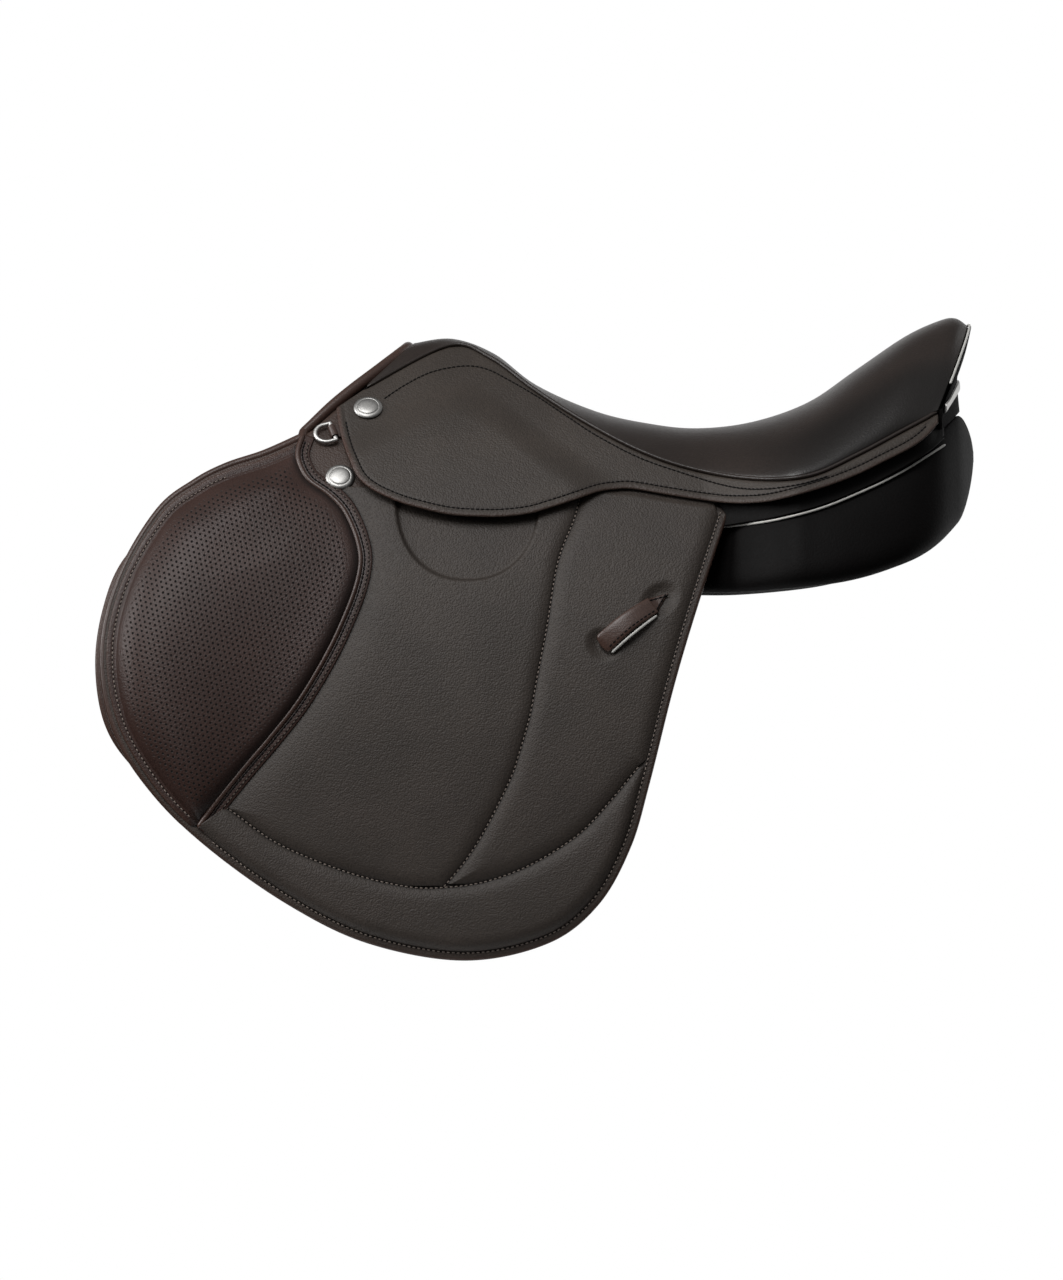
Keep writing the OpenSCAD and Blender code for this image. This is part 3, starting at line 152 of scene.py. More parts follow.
# Roll, head of the tree and lining
ROLL_SHARES = np.array([[0, 1], [0.254, 0.767], [0.488, 0.528], [0.706, 0.288], [0.934, 0.05], [1, 0]])
ROLL_LOW, ROLL_TOP, ROLL_D, ROLL_SINK = (-278.82, 72.5), (-207, 135.96), 7, 5.25
HEAD_TOP, HEAD_DEPTH, HEAD_LENGTH, HEAD_LEAN = 129, 9, 27, 0.36
TREE_DEPTH, STEEL_DEPTH, LAYER_GAP, ARCH_SHARE = -9.5, 2.5, 0.5, 0.27
LINING_LOW, LINING_LEATHER, ROLL_SWELL = 0.39 * HEAD_TOP, 2.5, 0.9

# Panel: shares of length, of height at four corners, and of the inset above and below
PANEL_SHARES = np.array([
    [0, 0.773, 0.907, 0.34, 0.72, 1, 1], [0.118, 0.707, 0.96, 0.053, 0.707, 1, 1],
    [0.244, 0.587, 0.933, 0.053, 0.68, 1, 1], [0.381, 0.493, 0.827, 0.093, 0.667, 1, 1],
    [0.486, 0.44, 0.74, 0.107, 0.64, 1, 1], [0.5916, 0.407, 0.667, 0.107, 0.607, 1, 1],
    [0.665, 0.4, 0.653, 0.113, 0.597, 0.35, 0.5], [0.76, 0.42, 0.707, 0.14, 0.653, 0.3, 0.45],
    [0.821, 0.46, 0.753, 0.173, 0.727, 0.3, 0.6], [0.878, 0.507, 0.813, 0.233, 0.813, 0.35, 0.9],
    [0.9137, 0.54, 0.853, 0.287, 0.885, 0.45, 1.3], [0.943, 0.567, 0.893, 0.36, 0.968, 0.7, 1.8],
    [0.9726, 0.6, 0.96, 0.467, 1.025, 1.4, 2.6], [0.99, 0.64, 0.97, 0.545, 1.028, 2.1, 3.1],
    [1, 0.673, 0.97, 0.607, 1.01, 2.6, 3.4]])
PANEL_FRONT, PANEL_LENGTH, PANEL_LOW, PANEL_HEIGHT = -281, 477, -66, 150
PANEL_INSET, CHANNEL_HALF = 25, 34
PANEL_PIPING = np.array([
    [14, 5], [26, 5.8], [51.5, 9.2], [83.2, 17.5], [115, 30.6], [138.4, 42.3], [157.7, 54], [172, 63]])
FACING_LOW = np.array([
    [8, 4], [27, 7], [52, 11], [84, 19.5], [116, 33], [140, 45.5], [160, 58], [172, 68]])
FACING_X, FACING_TUCK = (8, 171), 5
# The keeper's radius is that of a pale cord painted as a highlight along its lower edge.
PIPING_RADIUS = {"cantle": 0.9, "panel": 0.85, "keeper": 1.0}

# Nails: a profile of radius and height, and places x, z, d
NAIL_PROFILE = np.array([
    [0, 1], [0.2, 0.985], [0.4, 0.93], [0.56, 0.83], [0.66, 0.72], [0.69, 0.62], [0.715, 0.6],
    [0.75, 0.635], [0.84, 0.56], [0.92, 0.42], [0.98, 0.24], [1, 0.1], [0.97, 0]])
NAIL_D, NAIL_RISE = 20.5, 3
SKIRT_NAIL, FLAP_NAIL = (-233.7, 89.6, 7.2), (-252.4, 39.8, 1)

# Thread: half sizes of a bead as shares, its form, and how deep its channel lies
DARK_BEAD, PALE_BEAD, BEAD_WAIST, BEAD_SHOULDER, CHANNEL_SINK = 0.64, 0.5, 0.85, 0.55, 0.42

# Punched holes, in metres: their pitch, the rows' distance, radius and the grid's turn
HOLE_PITCH, HOLE_ROW, HOLE_RADIUS, HOLE_TILT = 0.0038, 0.0038 * 0.866, 0.00085, 0.3

# Numbers of points along and across the pieces
SEAT_COLUMNS, BACK_COLUMNS, BACK_ROWS, PLATE_ROWS = 97, 81, 41, 9
EDGE_POINTS, SEAM_POINTS, CORD_POINTS, ROLL_POINTS, PIPING_POINTS = 300, 400, 260, 220, 160
FLAP_POINTS, FLAP_RINGS, SWEAT_POINTS, SWEAT_RINGS, BLOCK_POINTS, BLOCK_RINGS = 561, 66, 421, 24, 121, 18
PAD_ROWS, SEWN_ROWS, PAD_COLUMNS, HEM_COLUMNS, SKIRT_COLUMNS, BAND_COLUMNS = 330, 340, 130, 60, 70, 22
KEEPER_ROWS, KEEPER_SIDES, TIP_ROWS, TIP_COLUMNS = 80, 32, 40, 16
PANEL_SIDES, FACING_ROWS, FACING_COLUMNS, LINING_ROWS, NAIL_SIDES = 72, 120, 24, 30, 48

# Leathers: colour, roughness, coat, relief, colour of burnished edges and shine
LEATHERS = {
    "skirt leather": ("skirt", 0.46, 0.0, 0.55, "roll", 0.3),
    "flap leather": ("flap", 0.48, 0.0, 0.55, "roll", 0.3),
    "seat leather": ("seat", 0.35, 0.0, 0.22, "roll", 0.45),
    "back leather": ("panel", 0.75, 0.0, 0.2, "panel", 0.05),
    "knee leather": ("knee", 0.38, 0.0, 0.35, "roll", 0.3),
    "roll leather": ("roll", 0.34, 0.15, 0.2, "roll", 0.4),
    "panel leather": ("panel", 0.52, 0.0, 0.2, "panel", 0.07),
    "under leather": ("roll", 0.45, 0.0, 0.3, "roll", 0.3),
    "billet leather": ("panel", 0.45, 0.0, 0.3, "roll", 0.4),
}

# Plain finishes: colour and its share, roughness, metal, relief, scale of the noise and shine
PLAIN_FINISHES = {
    "dark thread": ("panel", 1.5, 0.8, 0.0, 0.0, 300.0, 0.15),
    "seam shade": ("panel", 1.5, 0.9, 0.0, 0.0, 300.0, 0.1),
    "pale thread": ("thread", 1.0, 0.6, 0.0, 0.0, 300.0, 0.5),
    "brown thread": ("thread", 0.5, 0.7, 0.0, 0.0, 300.0, 0.2),
    "pale piping": ("piping", 1.0, 0.35, 0.0, 0.05, 300.0, 0.5),
    "bright steel": ("steel", 1.0, 0.45, 1.0, 0.03, 900.0, 0.5),
    "brushed steel": ("steel", 1.0, 0.36, 0.9, 0.03, 900.0, 0.5),
    "nail steel": ("steel", 0.62, 0.42, 1.0, 0.03, 900.0, 0.5),
    "spring steel": ("steel", 0.4, 0.45, 1.0, 0.1, 500.0, 0.5),
    "web": ("web", 1.0, 0.85, 0.0, 0.6, 700.0, 0.5),
}

# Finishes of the frame's own nodes, by the start of their names
FRAME_FINISHES = {
    "tree": "wood", "tree_spring": "spring steel", "gullet_plate": "spring steel", "seat_webbing": "web",
    "girth_web": "web", "billet": "billet leather", "stirrup_bar": "bright steel",
    "bar_catch": "bright steel", "dee": "bright steel", "dee_chape": "roll leather"}

# Stage, lamps and camera in metres, the floor in millimetres; a lamp has a place, size, power and
# whether it shows in gloss
FLOOR_HALF, FLOOR_X, FLOOR_Z = 550.0, -118, (-640.0, -620.0)
LAMP_AIM = (-0.12, 0, -0.03)
LAMPS = {"key": ((-0.9, -1.9, 2.1), 1.5, 46.0, True), "left": ((-2.6, -0.7, 1.2), 1.4, 40.0, True),
         "back": ((0.6, 2.3, 1.6), 1.6, 30.0, False)}
CAMERA_AT, CAMERA_LENS = (-0.1184, -4.0, -0.0742), 156.25


def lerp(a, b, t):
    """Value a share t of the way from a to b."""
    return a + (b - a) * t


def smooth(t):
    """Zero below 0, one above 1, and 3t squared less 2t cubed between."""
    t = np.clip(t, 0, 1)
    return t * t * (3 - 2 * t)


def ramp(value, start, run):
    """Smooth step from zero at start to one a run further on; a negative run steps the other way."""
    return smooth((value - start) / run)


def dome(t, power=0.62, order=2):
    """Zero at the edge and level from t = 1: one less a power of what is left, to another power."""
    return (1 - (1 - np.clip(t, 0, 1)) ** order) ** power


def level(d):
    """A flat face at depth d, as a function of x and z."""
    return lambda x, z: np.full_like(x, d)


def curve(points, steps=CURVE_STEPS):
    """Catmull-Rom curve through points of any number of columns, with its end points doubled."""
    p = np.asarray(points, float)
    q = np.vstack([p[:1], p, p[-1:]])
    a, b, c, d = q[:-3], q[1:-2], q[2:-1], q[3:]
    t = (np.arange(steps) / steps)[:, None, None]
    body = 0.5 * (2 * b + (c - a) * t + (2 * a - 5 * b + 4 * c - d) * t ** 2
                  + (3 * b - a - 3 * c + d) * t ** 3)
    return np.vstack([body.transpose(1, 0, 2).reshape(-1, p.shape[1]), p[-1:]])


def runs(line):
    """Distance along a line to each of its points."""
    return np.concatenate([[0], np.cumsum(np.linalg.norm(np.diff(line, axis=0), axis=1))])


def evenly(line, count, start=0.0, end=1.0):
    """Points at even distances along a line, between two shares of its length."""
    s = runs(line)
    t = np.linspace(start, end, count) * s[-1]
    return np.stack([np.interp(t, s, column) for column in np.asarray(line).T], 1)


def tangents(line):
    """Unit direction of a line at each of its points, from the points before and after."""
    t = np.gradient(line, axis=0)
    return t / np.maximum(np.linalg.norm(t, axis=1), 1e-9)[:, None]


def shifted(line, far):
    """A flat line moved to its left by a distance."""
    t = tangents(line)
    return line + far * np.stack([-t[:, 1], t[:, 0]], 1)


def mirrored(half):
    """A line on the near side that ends at the middle, carried on by its mirror image."""
    return np.vstack([half, (half * [1, -1, 1])[::-1][1:]])


def away(x, z, line, at_once=1500):
    """Distance from each place to the nearest point of a flat line, measured segment by segment."""
    shape = np.shape(x)
    p = np.stack([np.ravel(x), np.ravel(z)], 1)
    a, step = line[:-1], np.diff(line, axis=0)
    size = np.maximum((step ** 2).sum(1), 1e-9)
    parts = []
    for chunk in np.array_split(p, max(1, len(p) // at_once)):
        rel = chunk[:, None] - a
        t = np.clip((rel * step).sum(2) / size, 0, 1)
        parts.append(np.sqrt(((rel - t[..., None] * step) ** 2).sum(2).min(1)))
    return np.concatenate(parts).reshape(shape)


def side(z):
    """Half breadth of the side at height z: the full breadth less an exponential fall to the ridge."""
    return BREADTH * (1 - np.exp((z - RIDGE) / FALL))


def flank(x, z):
    """Half breadth of the side where the seat widens behind the middle."""
    return side(z) + WIDENING * ramp(x, WIDENING_START, WIDENING_RUN)


def on_side(x, z, d):
    """Points of the near side at a depth outwards."""
    return np.stack([x, -(side(z) + d), z], -1)


def on_flank(x, z, d):
    """Points of the near side at a depth outwards, with the widening behind the middle."""
    return np.stack([x, -(flank(x, z) + d), z], -1)


def flap_points(shares):
    """Places on the flap from shares of its length and drop."""
    return np.array([FLAP_FRONT, FLAP_LOW]) + np.asarray(shares) * np.array([FLAP_LENGTH, FLAP_DROP])


def skirt_points(shares):
    """Places on the skirt from shares of its length and height."""
    return np.array([SKIRT_FRONT, SKIRT_LOW]) + shares * np.array([SKIRT_LENGTH, SKIRT_HEIGHT])


# Seams and edges; a seat row is x and z at the crown, then x and z at the edge
EDGE = curve(flap_points(np.vstack([FLAP_FRONT_SHARES, FLAP_REAR_SHARES[1:]])))
FOOT = CURVE_STEPS * (len(FLAP_FRONT_SHARES) - 1)
FRONT, REAR = EDGE[:FOOT + 1], EDGE[FOOT:]
KNEE, HEM, THIGH = (curve(flap_points(shares)) for shares in (KNEE_SHARES, HEM_SHARES, THIGH_SHARES))
KNEE_BAND = shifted(KNEE, BAND_SPAN[1])
SEAT_ROWS = curve(np.array([SEAT_FRONT, SEAT_LOW] * 2)
                  + SEAT_SHARES * np.array([SEAT_LENGTH, CANTLE_RISE] * 2), COARSE_STEPS)
SEAT_LINE = SEAT_ROWS[:, 2:]
SKIRT_EDGE = curve(skirt_points(SKIRT_EDGE_SHARES), COARSE_STEPS)
SKIRT_CORNER = skirt_points(SKIRT_TOP_SHARES)
SKIRT_TOP = np.vstack([SKIRT_CORNER,
                       SEAT_LINE[SEAT_LINE[:, 0] > SKIRT_CORNER[1, 0] + 1] - [0, WELT_GAP]])
ROLL_LINE = curve(np.stack([lerp(ROLL_TOP[0], ROLL_LOW[0], ROLL_SHARES[:, 1]),
                            lerp(ROLL_LOW[1], ROLL_TOP[1], ROLL_SHARES[:, 0])], 1), COARSE_STEPS)


class Wire:
    """One output of a node tree, with the usual signs for sums."""

    def __init__(self, tree, out=None):
        self.tree, self.out = tree, out

    def make(self, kind, settings=None, inputs=None, out=0):
        """Add a node, set its settings and then its inputs, and give one of its outputs."""
        node = self.tree.nodes.new(kind)
        for key, value in (settings or {}).items():
            setattr(node, key, value)
        for key, value in (inputs or {}).items():
            if isinstance(value, Wire):
                self.tree.links.new(value.out, node.inputs[key])
            else:
                node.inputs[key].default_value = value
        return Wire(self.tree, node.outputs[out] if len(node.outputs) else None)

    def other(self, key):
        """Another output of this wire's node."""
        return Wire(self.tree, self.out.node.outputs[key])

    def sum(self, sign, first, second):
        return self.make("ShaderNodeMath", {"operation": sign}, {0: first, 1: second})

    def __add__(self, other):
        return self.sum("ADD", self, other)

    def __sub__(self, other):
        return self.sum("SUBTRACT", self, other)

    def __rsub__(self, other):
        return self.sum("SUBTRACT", other, self)

    def __mul__(self, other):
        return self.sum("MULTIPLY", self, other)

    def __truediv__(self, other):
        return self.sum("DIVIDE", self, other)

    def __rtruediv__(self, other):
        return self.sum("DIVIDE", other, self)

    __radd__, __rmul__ = __add__, __mul__

    def single(self, sign):
        """A function of this value alone, such as its root, whole part or fraction."""
        return self.make("ShaderNodeMath", {"operation": sign}, {0: self})

    def step(self, low, high, start=0.0, end=1.0):
        """Smooth step from start to end as the value goes from low to high."""
        return self.make("ShaderNodeMapRange", {"interpolation_type": "SMOOTHSTEP"},
                         {0: self, 1: low, 2: high, 3: start, 4: end})

    def mix(self, first, second):
        """Mix of two colours by this value."""
        return self.make("ShaderNodeMix", {"data_type": "RGBA"}, {0: self, 6: first, 7: second}, 2)

    def noise(self, scale, detail):
        """Noise over the piece's own coordinates."""
        return self.make("ShaderNodeTexNoise", None, {"Vector": self, "Scale": scale, "Detail": detail})

    def mark(self, name):
        """A mesh's own attribute."""
        return self.make("ShaderNodeAttribute", {"attribute_name": name}, out=2)

    def bump(self, strength, distance):
        """Direction of a surface with this value as its relief."""
        return self.make("ShaderNodeBump", None,
                         {"Strength": strength, "Distance": distance, "Height": self})


def rgba(colour, share=1.0):
    return tuple(share * c for c in colour[:3]) + (1.0,)


def start_material(name):
    """New material with an empty node tree, given with the object coordinates to start from."""
    material = bpy.data.materials.new(name)
    material.use_nodes = True
    material.node_tree.nodes.clear()
    return material, Wire(material.node_tree).make("ShaderNodeTexCoord", out=3)


def end_material(wire, settings):
    """Close a material's tree with a surface shader and its output."""
    shader = wire.make("ShaderNodeBsdfPrincipled", None, settings)
    wire.make("ShaderNodeOutputMaterial", None, {"Surface": shader})


def leather(name, colour, rough, coat, grain, size, edge, shine, holes):
    """Grained leather: pebbles from a smooth cell texture, with slow changes of tone.

    The attribute edge is one on a burnished edge; the attribute of painted shade is one where shade
    is painted into the tone: along seams, in the knee pad's fold, round a hollow's rim and on the
    seat's lower side. Holes are punched on a staggered grid, their inside painted near black as shade.
    """
    material, w = start_material(name)
    cells = w.make("ShaderNodeTexVoronoi", {"feature": "SMOOTH_F1"},
                   {"Vector": w, "Scale": 1 / size, "Smoothness": 0.6})
    fine, slow = w.noise(0.55 / size, 3.0), w.noise(22.0, 2.0)
    worn, crease = w.mark("edge"), w.mark("crease")
    tone = slow.step(0.3, 0.7).mix(rgba(colour, 0.88), rgba(colour, 1.1))
    tone = (cells * 0.9 + fine * 0.35).step(0.1, 0.75).mix(rgba(colour, 0.55), tone)
    tone = (worn * (fine * 0.5 + 0.7)).mix(tone, rgba(edge))
    # Painted shade: the tone goes to near black where shade is marked.
    tone = (crease * 0.9).mix(tone, rgba(colour, 0.1))
    height = cells * -0.8 + fine * 0.7
    dull = (fine * 0.16 + (rough - 0.06)) - worn * 0.12
    if holes:
        punched = perforations(w)
        # Painted shade: the holes have no depth in the mesh, so their inside is painted near black.
        tone = punched.mix(tone, rgba(colour, 0.01))
        height = height - punched * 2.5
        dull = dull + punched * 0.5
    end_material(w, {"Base Color": tone, "Roughness": dull, "Coat Weight": coat, "Coat Roughness": 0.3,
                     "Specular IOR Level": shine, "Normal": height.bump(grain, 0.0006)})
    return material


def perforations(w):
    """One inside punched holes: places fold into staggered cells with a circle round each middle."""
    uv = w.make("ShaderNodeUVMap", {"uv_map": "UVMap"})
    tilted = w.make("ShaderNodeVectorRotate", {"rotation_type": "Z_AXIS"},
                    {"Vector": uv, "Angle": HOLE_TILT})
    across = w.make("ShaderNodeSeparateXYZ", None, {"Vector": tilted})
    row = across.other(1) / HOLE_ROW
    place = across / HOLE_PITCH + row.single("FLOOR") * 0.5
    u = (place.single("FRACT") - 0.5) * HOLE_PITCH
    v = (row.single("FRACT") - 0.5) * HOLE_ROW
    far = (u * u + v * v).single("SQRT")
    return far.step(HOLE_RADIUS * 0.7, HOLE_RADIUS * 1.15, 1.0, 0.0) * w.mark("punched")


def plain(name, colour, rough, metal, grain, scale, shine):
    """One finish with fine noise in its tone, roughness and relief: metal, thread, web or piping."""
    material, w = start_material(name)
    fine = w.noise(scale, 3.0)
    end_material(w, {"Base Color": fine.step(0.3, 0.7).mix(rgba(colour, 0.88), rgba(colour, 1.08)),
                     "Roughness": fine * 0.1 + (rough - 0.05), "Metallic": metal,
                     "Specular IOR Level": shine, "Normal": fine.bump(grain, 0.0003)})
    return material


def wood(name, colour, rough):
    """Laminated wood: rings of tone along the length, from a wave texture bent by noise."""
    material, w = start_material(name)
    wave = w.make("ShaderNodeTexWave", {"bands_direction": "Z"},
                  {"Vector": w, "Scale": 120.0, "Distortion": 5.0, "Detail": 3.0, "Detail Scale": 1.5}, 1)
    end_material(w, {"Base Color": wave.mix(rgba(colour, 0.7), rgba(colour, 1.15)), "Roughness": rough,
                     "Normal": wave.bump(0.15, 0.0003)})
    return material


def new_object(name, points, faces, material, marks=None, uv=None):
    """Mesh object from points in millimetres, turned outwards by the sign of the volume enclosed."""
    tris = np.concatenate([f[:, [0, k, k + 1]] for f in faces for k in range(1, f.shape[1] - 1)])
    a, b, c = points[tris[:, 0]], points[tris[:, 1]], points[tris[:, 2]]
    if (a * np.cross(b, c)).sum() < 0:
        faces = [f[:, ::-1] for f in faces]
    mesh = bpy.data.meshes.new(name)
    mesh.from_pydata((points * MM).tolist(), [], [row for f in faces for row in f.tolist()])
    mesh.polygons.foreach_set("use_smooth", np.ones(len(mesh.polygons), bool))
    for key, values in (marks or {}).items():
        mark = mesh.attributes.new(key, "FLOAT", "POINT")
        mark.data.foreach_set("value", np.ravel(values).astype(np.float32))
    if uv is not None:
        corners = np.zeros(len(mesh.loops), np.int32)
        mesh.loops.foreach_get("vertex_index", corners)
        layer = mesh.uv_layers.new(name="UVMap")
        layer.data.foreach_set("uv", (uv * MM)[corners].ravel().astype(np.float32))
    mesh.materials.append(material)
    made = bpy.data.objects.new(name, mesh)
    bpy.context.collection.objects.link(made)
    return made


def ring_faces(n, m):
    """Quads between n rings of m points, and fans to a point beyond each end."""
    j = np.arange(m)
    k = (j + 1) % m
    a = np.arange(n - 1)[:, None] * m
    quads = np.stack(np.broadcast_arrays(a + j, a + k, a + m + k, a + m + j), -1).reshape(-1, 4)
    last = (n - 1) * m
    fans = [np.stack([np.full(m, n * m), k, j], 1),
            np.stack([np.full(m, n * m + 1), last + j, last + k], 1)]
    return [quads, np.concatenate(fans)]


def with_ends(rows):
    """Flat list of ring values with the means of the first and the last ring after them."""
    return np.concatenate([rows.reshape(-1, *rows.shape[2:]), rows[:1].mean(1), rows[-1:].mean(1)])


def ring_object(name, rings, material, marks=None, flat=None, hand=1):
    """Object through rings of points, mirrored for the off side; flat is the x and z of its texture."""
    n, m = rings.shape[:2]
    marks = {key: with_ends(np.broadcast_to(value, (n, m))) for key, value in (marks or {}).items()}
    uv = None if flat is None else with_ends(flat)
    return new_object(name, with_ends(rings) * [1, hand, 1], ring_faces(n, m), material, marks, uv)


def sheet(outline, centre, inner, outer, steps, crowd=1.6, rim=7, back=8):
    """Rings x, z, d of a sheet cut to a closed outline.

    They run from the centre of the outer face to the edge, crowding towards it with a power, round it
    in a half circle and back to the inner centre.
    """
    out = outline - np.asarray(centre, float)
    reach = np.hypot(out[:, 0], out[:, 1])
    way = out / reach[:, None]
    half = np.maximum(outer(*outline.T) - inner(*outline.T), LEAST_THICKNESS) / 2
    share = 1 - (1 - np.linspace(0, 1, steps + 1)[1:]) ** crowd
    turn = np.linspace(0.5, -0.5, rim + 2)[1:-1] * np.pi
    home = np.linspace(1, 0, back + 1)[:-1]
    far = np.vstack([share[:, None] * (reach - half), reach - half + half * np.cos(turn)[:, None],
                     home[:, None] * (reach - half)])
    x, z = (centre[k] + far * way[:, k] for k in (0, 1))
    d = np.zeros_like(x)
    d[:steps] = outer(x[:steps], z[:steps])
    d[-back:] = inner(x[-back:], z[-back:])
    middle, thick = (d[steps - 1] + d[-back]) / 2, (d[steps - 1] - d[-back]) / 2
    d[steps:steps + rim] = middle + thick * np.sin(turn)[:, None]
    return x, z, d


def strip(a, b, inner, outer, across, even=0.0, back=8, rim=5):
    """Sections x, z, d of a sheet between two lines of x and z, each section with half-round edges.

    Places across an outer section crowd to both edges with a cosine, or lie evenly by the share even.
    """
    wide = np.linalg.norm(b - a, axis=1)[:, None]
    half = max(float(np.mean(outer(*a.T) - inner(*a.T))), LEAST_THICKNESS) / 2
    inset = np.minimum(half / np.maximum(wide, 1e-6), 0.45)
    t, u = np.linspace(0, 1, across), np.linspace(1, 0, back)
    front = lerp(inset, 1 - inset, lerp(0.5 - 0.5 * np.cos(np.pi * t), t, even)[None])
    turn = np.linspace(0.5, -0.5, rim + 2)[1:-1] * np.pi
    far = 1 - inset + inset * np.cos(turn)[None]
    share = np.concatenate([front, far, lerp(inset, 1 - inset, u[None]), 1 - far], 1)
    x, z = (lerp(a[:, k:k + 1], b[:, k:k + 1], share) for k in (0, 1))
    d = np.zeros_like(x)
    d[:, :across] = outer(x[:, :across], z[:, :across])
    start, end = across + rim, across + rim + back
    d[:, start:end] = inner(x[:, start:end], z[:, start:end])
    lift = np.sin(turn)
    for edge, first, second, rise in ((slice(across, start), across - 1, start, lift),
                                      (slice(end, end + rim), 0, end - 1, lift[::-1])):
        middle, thick = (d[:, [first]] + d[:, [second]]) / 2, (d[:, [first]] - d[:, [second]]) / 2
        d[:, edge] = middle + thick * rise
    return x, z, d


def x_at(line, z):
    """Places along x of a line at heights z, for a line that only rises or only falls."""
    order = np.argsort(line[:, 1])
    return np.interp(z, line[order, 1], line[order, 0])


def between(left, right, z):
    """The two edges of a piece in rows of equal height, from a line on its left and one on its right."""
    return np.stack([x_at(left, z), z], 1), np.stack([x_at(right, z), z], 1)


def sweep(path, radius, sides=12, up=(0, 0, 1)):
    """Rings of a round cord along a path, in the plane across it; the radius may change along it."""
    t = tangents(path)
    first = np.cross(t, np.asarray(up, float))
    first = first / np.maximum(np.linalg.norm(first, axis=1), 1e-6)[:, None]
    second = np.cross(t, first)
    w = np.linspace(0, 2 * np.pi, sides, endpoint=False)
    r = np.broadcast_to(radius, len(path))[:, None, None]
    return path[:, None] + r * (np.cos(w)[None, :, None] * first[:, None]
                                + np.sin(w)[None, :, None] * second[:, None])


def round_ends(count, radius, share):
    """Radius along a cord that closes in a half circle within a share of its length at each end."""
    t = np.linspace(0, 1, count)
    edge = np.clip(np.minimum(t, 1 - t) / share, 0, 1)
    return radius * np.sqrt(np.maximum(1 - (1 - edge) ** 2, 0.02))


def cord_object(name, path, radius, share, material, hand=1, sides=12, up=(0, 0, 1)):
    """Round cord of one radius along a path, with rounded ends."""
    rings = sweep(path, round_ends(len(path), radius, share), sides, up)
    return ring_object(name, rings, material, hand=hand)


def stitches(name, path, normals, material, pitch, size, hand=1, sides=6):
    """A row of stitches: one low-sided bead per pitch along the path, sunk by half its height."""
    count = max(2, int(runs(path)[-1] / pitch))
    p, n = (evenly(line, count, 0.5 / count, 1 - 0.5 / count) for line in (path, normals))
    n = n / np.linalg.norm(n, axis=1)[:, None]
    t = tangents(p)
    t = t - (t * n).sum(1)[:, None] * n
    t = t / np.linalg.norm(t, axis=1)[:, None]
    b = np.cross(n, t)
    w = np.linspace(0, 2 * np.pi, sides, endpoint=False)
    ring = np.stack([np.zeros(sides), np.cos(w), np.sin(w)], 1) * [1, BEAD_WAIST, BEAD_WAIST]
    shoulder = np.array([BEAD_SHOULDER, 0, 0])
    shape = np.vstack([[-1, 0, 0], ring - shoulder, ring + shoulder, [1, 0, 0]]) * size
    points = (p[:, None] + shape[None, :, :1] * t[:, None] + shape[None, :, 1:2] * b[:, None]
              + shape[None, :, 2:] * n[:, None])
    j = np.arange(sides)
    k = (j + 1) % sides
    near, far, tip = 1, 1 + sides, 1 + 2 * sides
    caps = np.concatenate([np.stack([np.zeros(sides, int), near + k, near + j], 1),
                           np.stack([np.full(sides, tip), far + j, far + k], 1)])
    quads = np.stack([near + j, near + k, far + k, far + j], 1)
    base = (np.arange(count) * len(shape))[:, None, None]
    faces = [(quads[None] + base).reshape(-1, 4), (caps[None] + base).reshape(-1, 3)]
    return new_object(name, points.reshape(-1, 3) * [1, hand, 1], faces, material)


def side_normals(z):
    """Outward directions of the near side at heights z."""
    slope = BREADTH / FALL * np.exp((z - RIDGE) / FALL)
    n = np.stack([np.zeros_like(z), -np.ones_like(z), slope], -1)
    return n / np.linalg.norm(n, axis=-1)[..., None]


def seat_point(rows, u, depth):
    """Seat surface: each row falls from crown to edge with a power of the share u, sunk along its normal.

    Where the seat is full, towards the cantle, the fall is drawn to a rounder one that ends upright.
    """
    half = flank(rows[:, 2], rows[:, 3])[:, None] + SEAT_EDGE
    fall = (rows[:, 1] - rows[:, 3])[:, None]
    share = (rows[:, :1] - SEAT_FRONT) / SEAT_LENGTH
    full = SEAT_FULL * ramp(share, *FULL_START) * (1 - ramp(share, *FULL_END))
    w = lerp(np.abs(u) ** SEAT_POWER, 1 - np.maximum(1 - np.abs(u) ** 3, 0) ** 0.6, full)
    tilt = fall * np.gradient(w, u[0], axis=1)
    size = np.hypot(tilt, half)
    return np.stack([lerp(rows[:, :1], rows[:, 2:3], w), half * u - depth * tilt / size,
                     rows[:, 1:2] - fall * w - depth * half / size], -1)


def back_point(drop, u, out):
    """Back of the cantle: shares of drop at the middle, drawn to the seat's ends with a power of u."""
    top_x, top_z, end_x, end_z = SEAT_ROWS[-1]
    half = flank(end_x, end_z) + SEAT_EDGE
    w = np.abs(u) ** SEAT_POWER
    back = curve(BACK_SHARES, COARSE_STEPS)
    mid_x = top_x + WELT_GAP + (np.interp(drop, back[:, 1], back[:, 0]) - BACK_SHARES[0, 0]) * BACK_HEIGHT
    turn = SEAT_POWER * (mid_x - end_x - WELT_GAP) * np.abs(u) ** (SEAT_POWER - 1) * np.sign(u)
    size = np.hypot(turn, half)
    return np.stack([lerp(mid_x, end_x + WELT_GAP, w) + out * half / size, half * u + out * turn / size,
                     lerp(top_z, end_z, w) - drop * BACK_HEIGHT * lerp(1, BACK_END_SHARE, w)], -1)


def shell_rings(outer, inner):
    """Closed rings through an outer and an inner grid of points, one ring per row."""
    return np.concatenate([outer, inner[:, ::-1]], 1)


def skirt_edge_z(x):
    """Height of the skirt's lower edge."""
    return np.interp(x, SKIRT_EDGE[:, 0], SKIRT_EDGE[:, 1])


def skirt_in(x, z):
    """Depth of the skirt's inner face: it stands off the flap below its middle in front."""
    top = np.interp(x, SKIRT_TOP[:, 0], SKIRT_TOP[:, 1])
    down = ramp((top - z) / SKIRT_HEIGHT, 0.28, 0.36)
    return SKIRT_BASE + SKIRT_STANDOFF * down * (1 - ramp((x - SKIRT_FRONT) / SKIRT_LENGTH, 0.38, 0.14))


